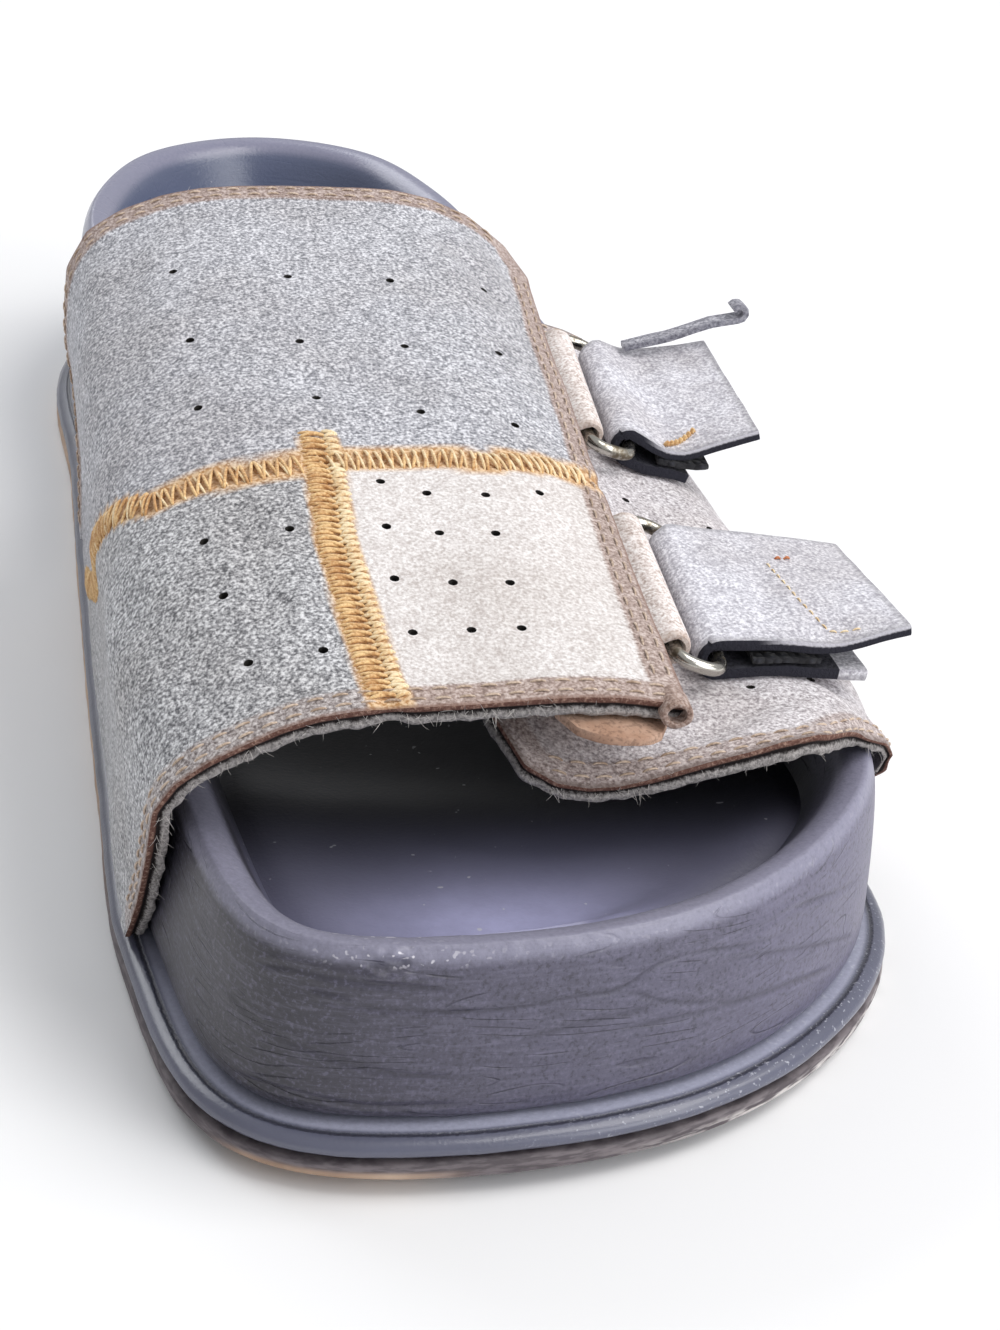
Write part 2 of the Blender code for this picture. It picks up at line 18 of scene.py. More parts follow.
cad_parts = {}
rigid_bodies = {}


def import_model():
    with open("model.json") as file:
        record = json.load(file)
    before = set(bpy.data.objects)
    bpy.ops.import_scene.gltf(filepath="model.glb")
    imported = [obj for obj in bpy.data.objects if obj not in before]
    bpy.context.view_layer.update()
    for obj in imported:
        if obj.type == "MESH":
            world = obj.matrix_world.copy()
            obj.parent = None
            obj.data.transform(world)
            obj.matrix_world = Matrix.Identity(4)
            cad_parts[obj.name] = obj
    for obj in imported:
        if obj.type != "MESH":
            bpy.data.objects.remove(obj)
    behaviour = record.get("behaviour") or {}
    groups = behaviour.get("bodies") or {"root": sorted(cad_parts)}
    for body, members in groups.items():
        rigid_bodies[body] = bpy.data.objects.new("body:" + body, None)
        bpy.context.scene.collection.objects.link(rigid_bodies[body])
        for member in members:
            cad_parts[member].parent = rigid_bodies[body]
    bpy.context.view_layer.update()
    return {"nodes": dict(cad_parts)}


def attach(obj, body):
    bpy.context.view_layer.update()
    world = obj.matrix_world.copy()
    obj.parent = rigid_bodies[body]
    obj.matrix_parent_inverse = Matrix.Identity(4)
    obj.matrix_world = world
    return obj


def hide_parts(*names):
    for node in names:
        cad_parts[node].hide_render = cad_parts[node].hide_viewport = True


MM = 0.001
FAR = 200.0
OUTER, LINING, CUT_EDGE, PINHOLE = range(4)

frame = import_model()
solids = frame["nodes"]
chance = random.Random(41)


# Modelling helpers
def pick(*pieces):
    """Selects these pieces alone, with the last one active."""
    bpy.ops.object.select_all(action="DESELECT")
    for piece in pieces:
        piece.select_set(True)
    bpy.context.view_layer.objects.active = pieces[-1]


def apply_step(piece, kind, **settings):
    """Adds one modifier to a piece and applies it."""
    pick(piece)
    step = piece.modifiers.new(kind.lower(), kind)
    for key, value in settings.items():
        setattr(step, key, value)
    bpy.ops.object.modifier_apply(modifier=step.name)


def rounded(piece, levels):
    apply_step(piece, "SUBSURF", levels=levels, render_levels=levels)


def new_piece(name, mesh):
    mesh.name = name
    piece = bpy.data.objects.new(name, mesh)
    bpy.context.scene.collection.objects.link(piece)
    return piece


def copied_solid(solid_name, corner_deg=50.0, crease=0.8):
    """A merged copy of one solid's mesh, in quads, with its corners held by creases."""
    mesh = solids[solid_name].data.copy()
    mesh.materials.clear()
    piece = new_piece("dressed_" + solid_name, mesh)
    pick(piece)
    bpy.ops.mesh.customdata_custom_splitnormals_clear()
    bpy.ops.object.mode_set(mode="EDIT")
    bpy.ops.mesh.select_all(action="SELECT")
    bpy.ops.mesh.remove_doubles(threshold=0.02 * MM)
    bpy.ops.mesh.tris_convert_to_quads(face_threshold=math.radians(70), shape_threshold=math.radians(170))
    bpy.ops.mesh.mark_sharp(clear=True)
    bpy.ops.mesh.select_all(action="DESELECT")
    bpy.ops.mesh.edges_select_sharp(sharpness=math.radians(corner_deg))
    bpy.ops.transform.edge_crease(value=crease)
    bpy.ops.object.mode_set(mode="OBJECT")
    return piece


def edit_faces(piece, wanted):
    """Goes into edit mode with only the faces selected that a rule wants."""
    pick(piece)
    bpy.ops.object.mode_set(mode="EDIT")
    bpy.ops.mesh.select_mode(type="FACE")
    bpy.ops.mesh.select_all(action="DESELECT")
    bpy.ops.object.mode_set(mode="OBJECT")
    for face in piece.data.polygons:
        face.select = wanted(face)
    bpy.ops.object.mode_set(mode="EDIT")


def smooth_shaded(piece, corner_deg=60.0):
    pick(piece)
    bpy.ops.object.shade_smooth_by_angle(angle=math.radians(corner_deg))


def finished(piece, slot, materials, *stands_for):
    """Gives a piece its materials and its body, and hides the solids that it stands for. The slot is not
    used.
    """
    for material in materials:
        piece.data.materials.append(material)
    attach(piece, "root")
    if stands_for:
        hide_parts(*stands_for)


def places(piece):
    """Every point of a piece in millimetres, and its normal."""
    count = len(piece.data.vertices)
    spots = np.empty(count * 3)
    normals = np.empty(count * 3)
    piece.data.vertices.foreach_get("co", spots)
    piece.data.vertices.foreach_get("normal", normals)
    return spots.reshape(-1, 3) / MM, normals.reshape(-1, 3)


def moved_to(piece, spots):
    """Puts each point of a piece at its spot, in millimetres."""
    piece.data.vertices.foreach_set("co", (spots * MM).ravel())
    piece.data.update()


def pushed(piece, offset):
    """Moves each point of a piece along its normal by its own offset in millimetres."""
    spots, normals = places(piece)
    moved_to(piece, spots + normals * offset[:, None])


def marked(piece, name, values):
    """Keeps one number for each point, for the materials to read."""
    mark = piece.data.attributes.new(name, "FLOAT", "POINT")
    mark.data.foreach_set("value", np.asarray(values, np.float32))


def unevenness(spots, size, seed):
    """Smooth lumps from about -1 to 1, of the given size in millimetres."""
    shift = Vector((seed, 0, 0))
    return np.array([lumps.noise(Vector(spot) / size + shift) for spot in spots])


def ease(values, low, high):
    t = np.clip((values - low) / (high - low), 0, 1)
    return t * t * (3 - 2 * t)


def flowing(points, steps=6):
    """A smooth curve through given points."""
    p = np.asarray(points, float)
    p = np.vstack([2 * p[0] - p[1], p, 2 * p[-1] - p[-2]])
    line = []
    for a, b, c, d in zip(p, p[1:], p[2:], p[3:]):
        for t in np.linspace(0, 1, steps, endpoint=False):
            line.append(
                b + 0.5 * t * (c - a + t * (2 * a - 5 * b + 4 * c - d + t * (3 * (b - c) + d - a)))
            )
    return np.array(line + [p[-2]])


def line_distance(spots, points):
    """Distance of each spot to a line, and the share of the line's length at its nearest point."""
    gap = np.full(len(spots), np.inf)
    share = np.zeros(len(spots))
    lengths = np.linalg.norm(np.diff(points, axis=0), axis=1)
    done = 0.0
    for a, b, length in zip(points, points[1:], lengths):
        t = np.clip((spots - a) @ (b - a) / length**2, 0, 1)
        here = np.linalg.norm(spots - (a + t[:, None] * (b - a)), axis=1)
        closer = here < gap
        gap[closer] = here[closer]
        share[closer] = (done + t[closer] * length) / lengths.sum()
        done += length
    return gap, share


Crease = namedtuple("Crease", "depth width points")


def creased(spots, creases, taper=0.18):
    """Offsets of soft troughs with a low ridge on either side, fading out at their ends."""
    offset = np.zeros(len(spots))
    for crease in creases:
        gap, share = line_distance(spots, flowing(crease.points))
        fade = ease(np.minimum(share, 1 - share), 0.0, taper)
        trough = np.exp(-(gap / crease.width) ** 2)
        ridge = np.exp(-((gap - 2.1 * crease.width) / (1.1 * crease.width)) ** 2)
        offset += crease.depth * fade * (0.45 * ridge - trough)
    return offset


# Finding places on a surface
def skin(piece):
    """A search tree of a piece's surface, in millimetres."""
    mesh = piece.data
    return BVHTree.FromPolygons(
        [vertex.co / MM for vertex in mesh.vertices],
        [tuple(face.vertices) for face in mesh.polygons],
    )


def around(tree, angle, y):
    """Outer surface at an angle round the foot's length: 0 is the outer side and 180 the inner."""
    out = Vector((math.cos(math.radians(angle)), 0, math.sin(math.radians(angle))))
    spot, normal, _, _ = tree.ray_cast(Vector((0, y, 0)) + out * FAR, -out, FAR)
    return spot, normal


def above(tree, x, y):
    """Upper surface at x, y."""
    spot, normal, _, _ = tree.ray_cast(Vector((x, y, FAR)), Vector((0, 0, -1)))
    return spot, normal


def last_inside(is_inside, inside, outside):
    """The furthest value from inside towards outside that is still on a piece."""
    for _ in range(13):
        middle = (inside + outside) / 2
        if is_inside(middle):
            inside = middle
        else:
            outside = middle
    return inside


def on_piece(line):
    """The places of a line that met the surface."""
    return [place for place in line if place[0] is not None]


# A hem runs from start to stop, as angles or as y, and its edge lies between inside and outside.
Hem = namedtuple("Hem", "start stop count inside outside")


def edge_y(tree, angle, hem):
    return last_inside(lambda y: around(tree, angle, y)[0] is not None, hem.inside, hem.outside)


def edge_angle(tree, y, hem):
    return last_inside(lambda angle: around(tree, angle, y)[0] is not None, hem.inside, hem.outside)


def row_round(tree, hem, inset):
    """A sewing line round the foot, an inset in from a panel's front or rear edge."""
    back = math.copysign(inset, hem.inside - hem.outside)
    angles = np.linspace(hem.start, hem.stop, hem.count)
    return on_piece([around(tree, angle, edge_y(tree, angle, hem) + back) for angle in angles])


def row_along(tree, hem, inset):
    """A sewing line along the foot, an inset in from a panel's free long edge."""
    line = []
    for y in np.linspace(hem.start, hem.stop, hem.count):
        angle = edge_angle(tree, y, hem)
        spot, _ = around(tree, angle, y)
        back = math.degrees(inset / math.hypot(spot.x, spot.z))
        line.append(around(tree, angle + math.copysign(back, hem.inside - hem.outside), y))
    return on_piece(line)


def spaced(line, spacing):
    """Spots and normals at an even spacing along a sewing line."""
    spots = np.array([spot for spot, _ in line])
    normals = np.array([normal for _, normal in line])
    run = np.concatenate([[0], np.cumsum(np.linalg.norm(np.diff(spots, axis=0), axis=1))])
    wanted = np.linspace(0, run[-1], max(2, int(run[-1] / spacing) + 1))
    even_spots = np.column_stack([np.interp(wanted, run, column) for column in spots.T])
    even_normals = np.column_stack([np.interp(wanted, run, column) for column in normals.T])
    return [(Vector(s), Vector(n).normalized()) for s, n in zip(even_spots, even_normals)]


# Thread and lint, each modelled once and copied
def sliced(cuts):
    """Cuts the active piece across X at each place, so that it can bend."""
    bpy.ops.object.mode_set(mode="EDIT")
    for cut in cuts:
        bpy.ops.mesh.select_all(action="SELECT")
        bpy.ops.mesh.bisect(plane_co=(cut, 0, 0), plane_no=(1, 0, 0))
    bpy.ops.object.mode_set(mode="OBJECT")


def modelled_stitch():
    """One stitch of thread, 1 long and 1 thick, humped in the middle and sunk at its ends."""
    bpy.ops.object.select_all(action="DESELECT")
    bpy.ops.mesh.primitive_cylinder_add(vertices=6, radius=0.5, depth=1.0, rotation=(0, math.pi / 2, 0))
    stitch = bpy.context.object
    bpy.ops.object.transform_apply(location=False, rotation=True, scale=False)
    sliced((-0.36, -0.15, 0.15, 0.36))
    for vertex in stitch.data.vertices:
        out = abs(vertex.co.x) * 2
        slim = 1.0 - 0.55 * out**4
        vertex.co.y *= slim
        vertex.co.z = vertex.co.z * slim + 0.35 - 1.1 * out**3
    bpy.ops.object.shade_smooth()
    return stitch


def modelled_fibre():
    """One loose fibre, 1 long from the origin along X, tapered and bent upwards."""
    bpy.ops.object.select_all(action="DESELECT")
    bpy.ops.mesh.primitive_cone_add(
        vertices=4, radius1=0.5, radius2=0.12, depth=1.0, location=(0.5, 0, 0), rotation=(0, math.pi / 2, 0)
    )
    fibre = bpy.context.object
    bpy.ops.object.transform_apply(location=True, rotation=True, scale=False)
    sliced((0.2, 0.4, 0.6, 0.8))
    bpy.ops.object.shade_smooth()
    return fibre


def joined(name, copies):
    """Joins copies into one piece with its place in its mesh."""
    pick(*copies)
    if len(copies) > 1:
        bpy.ops.object.join()
    piece = bpy.context.view_layer.objects.active
    piece.name = name
    piece.data.name = name
    return piece


def sewn(name, stitches, radius, material, slot="tan_leather"):
    """Lays a copy of the stitch along every start, end and normal, as one piece."""
    copies = []
    for start, end, normal in stitches:
        along = end - start
        side = normal.cross(along).normalized()
        up = along.cross(side).normalized()
        lie = Matrix((along, side * 2 * radius, up * 2 * radius)).transposed().to_4x4()
        lie.translation = (start + end) / 2 + up * radius * 0.5
        mesh = stitch_model.data.copy()
        mesh.transform(Matrix.Scale(MM, 4) @ lie)
        copies.append(new_piece(name, mesh))
    finished(joined(name, copies), slot, [material])


def running(line, pitch, share=0.76):
    """Stitches end to end along a sewing line."""
    even = spaced(line, pitch)
    stitches = []
    for (a, normal), (b, _) in zip(even, even[1:]):
        stitches.append((a, a + (b - a) * share, normal))
    return stitches


ThreadRow = namedtuple("ThreadRow", "pitch low high lean begin")


def crossing(tree, line, row):
    """Threads across a seam, from low to high beside its line, each leaning along it."""
    even = spaced(line, row.pitch)
    stitches = []
    for (a, normal), (b, _) in zip(even, even[1:]):
        along = b - a
        side = normal.cross(along).normalized()
        slip = along * (row.begin + chance.uniform(-0.09, 0.09))
        start = a + slip + side * (row.low + chance.uniform(-0.25, 0.25))
        end = a + slip + along * row.lean + side * (row.high + chance.uniform(-0.25, 0.25))
        stitches.append((tree.find_nearest(start)[0], tree.find_nearest(end)[0], normal))
    return stitches


def lint(name, roots, length, radius, material, slot):
    """Loose fibres standing out of a cut edge, one copy of the fibre for each root and direction."""
    copies = []
    for root, out in roots:
        sway = Vector([chance.gauss(0, 0.55) for _ in range(3)])
        along = (out + sway).normalized()
        side = along.orthogonal().normalized()
        side.rotate(Matrix.Rotation(chance.uniform(0, 2 * math.pi), 3, along))
        up = along.cross(side)
        reach = length * chance.uniform(0.4, 1.3)
        bend = chance.uniform(0.1, 0.5) * reach
        mesh = fibre_model.data.copy()
        for vertex in mesh.vertices:
            x, y, z = vertex.co
            lift = z * 2 * radius + bend * x * x
            vertex.co = root + along * (x * reach) + side * (y * 2 * radius) + up * lift
        mesh.transform(Matrix.Scale(MM, 4))
        copies.append(new_piece(name, mesh))
    finished(joined(name, copies), slot, [material])


# Material helpers
def new_material(name):
    material = bpy.data.materials.new(name)
    material.use_nodes = True
    tree = material.node_tree
    return material, tree, tree.nodes["Principled BSDF"]


def fed(tree, socket, value):
    """Links a socket to another one, or sets its own value."""
    if isinstance(value, bpy.types.NodeSocket):
        tree.links.new(value, socket)
    else:
        socket.default_value = value


def node(tree, kind, wires, **settings):
    """Adds one node, with its settings and with values or links on its inputs."""
    made = tree.nodes.new(kind)
    for key, value in settings.items():
        setattr(made, key, value)
    for key, value in wires.items():
        fed(tree, made.inputs[key], value)
    return made


def object_place(tree):
    return node(tree, "ShaderNodeTexCoord", {}).outputs["Object"]


def axes(tree, place):
    split = node(tree, "ShaderNodeSeparateXYZ", {"Vector": place})
    return split.outputs["X"], split.outputs["Y"], split.outputs["Z"]


def mark_value(tree, name):
    return node(tree, "ShaderNodeAttribute", {}, attribute_name=name).outputs["Fac"]


def stretched(tree, place, scale):
    return node(tree, "ShaderNodeMapping", {"Vector": place, "Scale": scale}).outputs["Vector"]


def grain(tree, place, size_mm, detail=2.0, rough=0.5):
    """Noise from 0 to 1 with lumps of about the given size."""
    wires = {"Vector": place, "Scale": 1000.0 / size_mm, "Detail": detail, "Roughness": rough}
    return node(tree, "ShaderNodeTexNoise", wires).outputs["Fac"]


def step_up(tree, value, low, high):
    """0 below low and 1 above high, or turned round where low is the larger."""
    wires = {"Value": value, "From Min": low, "From Max": high}
    return node(tree, "ShaderNodeMapRange", wires, interpolation_type="SMOOTHSTEP").outputs["Result"]


def spread(tree, value, low, high):
    """Brings a value from 0 to 1 to the range from low to high."""
    wires = {"Value": value, "To Min": low, "To Max": high}
    return node(tree, "ShaderNodeMapRange", wires).outputs["Result"]


def calc(tree, operation, first, second=0.0):
    return node(tree, "ShaderNodeMath", {0: first, 1: second}, operation=operation).outputs[0]


def times(tree, first, second):
    return calc(tree, "MULTIPLY", first, second)


def colours(tree, value, stops):
    """A colour ramp from its stops of place and colour."""
    made = node(tree, "ShaderNodeValToRGB", {"Fac": value})
    elements = made.color_ramp.elements
    while len(elements) < len(stops):
        elements.new(0.5)
    for element, (place, colour) in zip(elements, stops):
        element.position = place
        element.color = (*colour, 1.0)
    return made.outputs["Color"]


def laid(tree, share, under, over, mode="MIX"):
    """One colour laid over another by a share."""
    made = node(tree, "ShaderNodeMix", {0: share}, data_type="RGBA", blend_type=mode)
    for index, colour in ((6, under), (7, over)):
        if not isinstance(colour, bpy.types.NodeSocket):
            colour = (*colour, 1.0)
        fed(tree, made.inputs[index], colour)
    return made.outputs[2]


def tinted(tree, colour, tint, value, low, high, share):
    """Lays a tint over a colour where a value goes from low to high, up to a share."""
    return laid(tree, times(tree, step_up(tree, value, low, high), share), colour, tint)


def bumped(tree, height, depth_mm, strength=1.0, under=None):
    wires = {"Height": height, "Strength": strength, "Distance": depth_mm * MM}
    if under is not None:
        wires["Normal"] = under
    return node(tree, "ShaderNodeBump", wires).outputs["Normal"]


def wired(tree, shader, **sockets):
    """Links or sets the shader's own sockets."""
    names = {
        "colour": "Base Color", "roughness": "Roughness", "normal": "Normal", "metallic": "Metallic",
        "sheen": "Sheen Weight", "sheen_roughness": "Sheen Roughness", "coat": "Coat Weight",
        "coat_roughness": "Coat Roughness", "specular": "Specular IOR Level",
    }
    for key, value in sockets.items():
        fed(tree, shader.inputs[names[key]], value)


Fleck = namedtuple("Fleck", "dark middle light")
REAR_GREY = Fleck((0.16, 0.165, 0.185), (0.405, 0.405, 0.44), (0.78, 0.78, 0.82))
FRONT_GREY = Fleck((0.10, 0.10, 0.11), (0.365, 0.365, 0.38), (0.78, 0.78, 0.80))
CREAM = Fleck((0.52, 0.47, 0.45), (0.685, 0.645, 0.63), (0.86, 0.835, 0.825))
HEM_TAN = Fleck((0.16, 0.105, 0.085), (0.36, 0.265, 0.23), (0.60, 0.50, 0.46))
SIDE_BEIGE = Fleck((0.30, 0.275, 0.285), (0.615, 0.575, 0.60), (0.90, 0.88, 0.90))
KEEPER_BEIGE = Fleck((0.46, 0.37, 0.33), (0.76, 0.68, 0.65), (0.95, 0.92, 0.90))
STRAP_GREY = Fleck((0.36, 0.35, 0.395), (0.57, 0.56, 0.61), (0.84, 0.835, 0.88))
SOIL = (0.45, 0.38, 0.32)
TAIL_GREY = Fleck((0.16, 0.16, 0.19), (0.34, 0.34, 0.39), (0.56, 0.56, 0.61))


def fleck_value(tree, place):
    """Salt and pepper of suede: fine flecks over slightly larger ones."""
    fine = grain(tree, place, 0.46, 2.0, 0.6)
    coarse = grain(tree, place, 1.3, 2.0, 0.5)
    return calc(tree, "ADD", times(tree, fine, 0.78), times(tree, coarse, 0.22))


def flecked(tree, value, fleck, low=0.36, high=0.63):
    return colours(tree, value, [(low, fleck.dark), ((low + high) / 2, fleck.middle), (high, fleck.light)])


def soiled(tree, place, colour, size_mm, depth):
    """Soft uneven darkening, as from handling."""
    cloud = step_up(tree, grain(tree, place, size_mm, 3.0, 0.55), 0.35, 0.65)
    return laid(tree, times(tree, cloud, depth), colour, SOIL, "MULTIPLY")


def suede_finish(tree, shader, place, value, colour):
    """The nap: matt, with a short soft pile in the bump and a little sheen."""
    pile = grain(tree, place, 0.35, 3.0, 0.6)
    nap = bumped(tree, value, 0.22, 0.7)
    wired(tree, shader, colour=colour, normal=bumped(tree, pile, 0.12, 0.5, nap))
    wired(tree, shader, roughness=0.92, sheen=0.18, sheen_roughness=0.5, specular=0.15)


def patchwork_suede():
    """Main panel: rear and front grey patches, a cream one, tan hems and bands under the seams."""
    material, tree, shader = new_material("patchwork_suede")
    place = object_place(tree)
    value = fleck_value(tree, place)
    front = step_up(tree, mark_value(tree, "cross_seam"), -0.3, 0.3)
    outer = step_up(tree, mark_value(tree, "long_seam"), -0.3, 0.3)
    patches = laid(tree, outer, flecked(tree, value, FRONT_GREY), flecked(tree, value, CREAM))
    colour = laid(tree, front, flecked(tree, value, REAR_GREY), patches)
    colour = soiled(tree, place, colour, 24.0, 0.22)
    edge = mark_value(tree, "edge_mm")
    hem = step_up(tree, calc(tree, "ADD", edge, spread(tree, value, -0.5, 0.5)), 4.5, 3.7)
    hem = times(tree, hem, spread(tree, mark_value(tree, "hem_share"), 0.0, 0.92))
    colour = laid(tree, hem, colour, flecked(tree, value, HEM_TAN, 0.34, 0.66))
    band = mark_value(tree, "seam_band")
    under_thread = laid(tree, step_up(tree, value, 0.38, 0.62), (0.44, 0.23, 0.09), (0.78, 0.57, 0.36))
    colour = laid(tree, band, colour, under_thread)
    colour = tinted(tree, colour, (0.20, 0.11, 0.08), edge, 0.75, 0.15, 0.7)
    suede_finish(tree, shader, place, value, colour)
    return material


def plain_suede(name, fleck, edge_share, edge_colour, hem_share=0.0):
    """One colour of suede with darker worn edges, and a tan hem where it has one."""
    material, tree, shader = new_material(name)
    place = object_place(tree)
    value = fleck_value(tree, place)
    colour = soiled(tree, place, flecked(tree, value, fleck), 16.0, 0.25)
    edge = mark_value(tree, "edge_mm")
    if hem_share:
        hem = step_up(tree, calc(tree, "ADD", edge, spread(tree, value, -0.8, 0.8)), 4.6, 3.4)
        colour = laid(tree, times(tree, hem, hem_share), colour, flecked(tree, value, HEM_TAN))
    colour = tinted(tree, colour, edge_colour, edge, 1.3, 0.2, edge_share)
    suede_finish(tree, shader, place, value, colour)
    return material


def cut_edge(name, skin_line, core, felt):
    """A cut edge across its thickness: folded skin, a dark joint and the lining's fuzzy felt."""
    material, tree, shader = new_material(name)
    place = object_place(tree)
    fuzz = grain(tree, place, 0.5, 4.0, 0.7)
    across = calc(tree, "ADD", mark_value(tree, "across"), spread(tree, fuzz, -0.12, 0.12))
    felt_colour = laid(tree, step_up(tree, fuzz, 0.35, 0.65), tuple(c * 0.45 for c in felt), felt)
    wear_and_highlight = laid(tree, step_up(tree, fuzz, 0.45, 0.7), skin_line, (0.42, 0.27, 0.21))
    layers = laid(tree, step_up(tree, across, 0.22, 0.36), wear_and_highlight, core)
    colour = laid(tree, step_up(tree, across, 0.5, 0.66), layers, felt_colour)
    wired(tree, shader, colour=colour, normal=bumped(tree, fuzz, 0.5), roughness=0.95, specular=0.1)
    return material


def strap_edge():
    """A strap's cut edge: suede rolled over it from above, with painted shade below, partly the strap's dark
    underside, and painted shadow in the fold at the ring.
    """
    material, tree, shader = new_material("strap_edge")
    place = object_place(tree)
    x, _, _ = axes(tree, place)
    fuzz = grain(tree, place, 0.5, 3.0, 0.65)
    across = calc(tree, "ADD", mark_value(tree, "across"), spread(tree, fuzz, -0.15, 0.15))
    # Painted shade: the edge's lower half and its fold at the ring go near-black.
    dark = calc(tree, "MAXIMUM", step_up(tree, across, 0.2, 0.42), step_up(tree, x, 0.037, 0.032))
    colour = laid(tree, dark, STRAP_GREY.middle, (0.028, 0.028, 0.038))
    wired(tree, shader, colour=colour, normal=bumped(tree, fuzz, 0.3), roughness=0.9, specular=0.15)
    return material


def felt_lining():
    material, tree, shader = new_material("felt_lining")
    place = object_place(tree)
    fuzz = grain(tree, place, 0.7, 4.0, 0.65)
    cloud = grain(tree, place, 9.0, 2.0)
    colour = colours(tree, fuzz, [(0.3, (0.05, 0.048, 0.048)), (0.7, (0.20, 0.19, 0.185))])
    colour = laid(tree, spread(tree, cloud, 0.0, 0.4), colour, (0.16, 0.13, 0.10))
    wired(tree, shader, colour=colour, normal=bumped(tree, fuzz, 0.4))
    wired(tree, shader, roughness=0.95, sheen=0.2, specular=0.1)
    return material


def leather(name, low, high, depth_mm=0.15):
    """Thin leather with a fine grain, paler in soft patches."""
    material, tree, shader = new_material(name)
    place = object_place(tree)
    pores = grain(tree, place, 0.6, 3.0, 0.6)
    cloud = grain(tree, place, 6.0, 3.0, 0.6)
    colour = laid(tree, step_up(tree, cloud, 0.3, 0.7), low, high)
    in_pores = tuple(c * 0.4 for c in low)
    colour = tinted(tree, colour, in_pores, pores, 0.5, 0.36, 0.5)
    wired(tree, shader, colour=colour, normal=bumped(tree, pores, depth_mm), specular=0.3)
    wired(tree, shader, roughness=spread(tree, cloud, 0.6, 0.85))
    return material


def thread(name, low, high):
    """Twisted sewing thread, fuzzy and a little faded."""
    material, tree, shader = new_material(name)
    place = object_place(tree)
    twist = grain(tree, place, 0.35, 2.0)
    fade = grain(tree, place, 3.0, 2.0)
    shade = calc(tree, "ADD", times(tree, twist, 0.5), times(tree, fade, 0.5))
    colour = laid(tree, step_up(tree, shade, 0.36, 0.64), low, high)
    wired(tree, shader, colour=colour, normal=bumped(tree, twist, 0.1), roughness=0.75, sheen=0.15)
    return material


def pinhole_shade():
    # Painted shade: the pinholes' walls are painted near-black.
    material, tree, shader = new_material("pinhole_wall_shade")
    fuzz = grain(tree, object_place(tree), 0.3, 2.0)
    colour = laid(tree, fuzz, (0.015, 0.014, 0.014), (0.07, 0.065, 0.06))
    wired(tree, shader, colour=colour, roughness=0.95, specular=0.05)
    return material


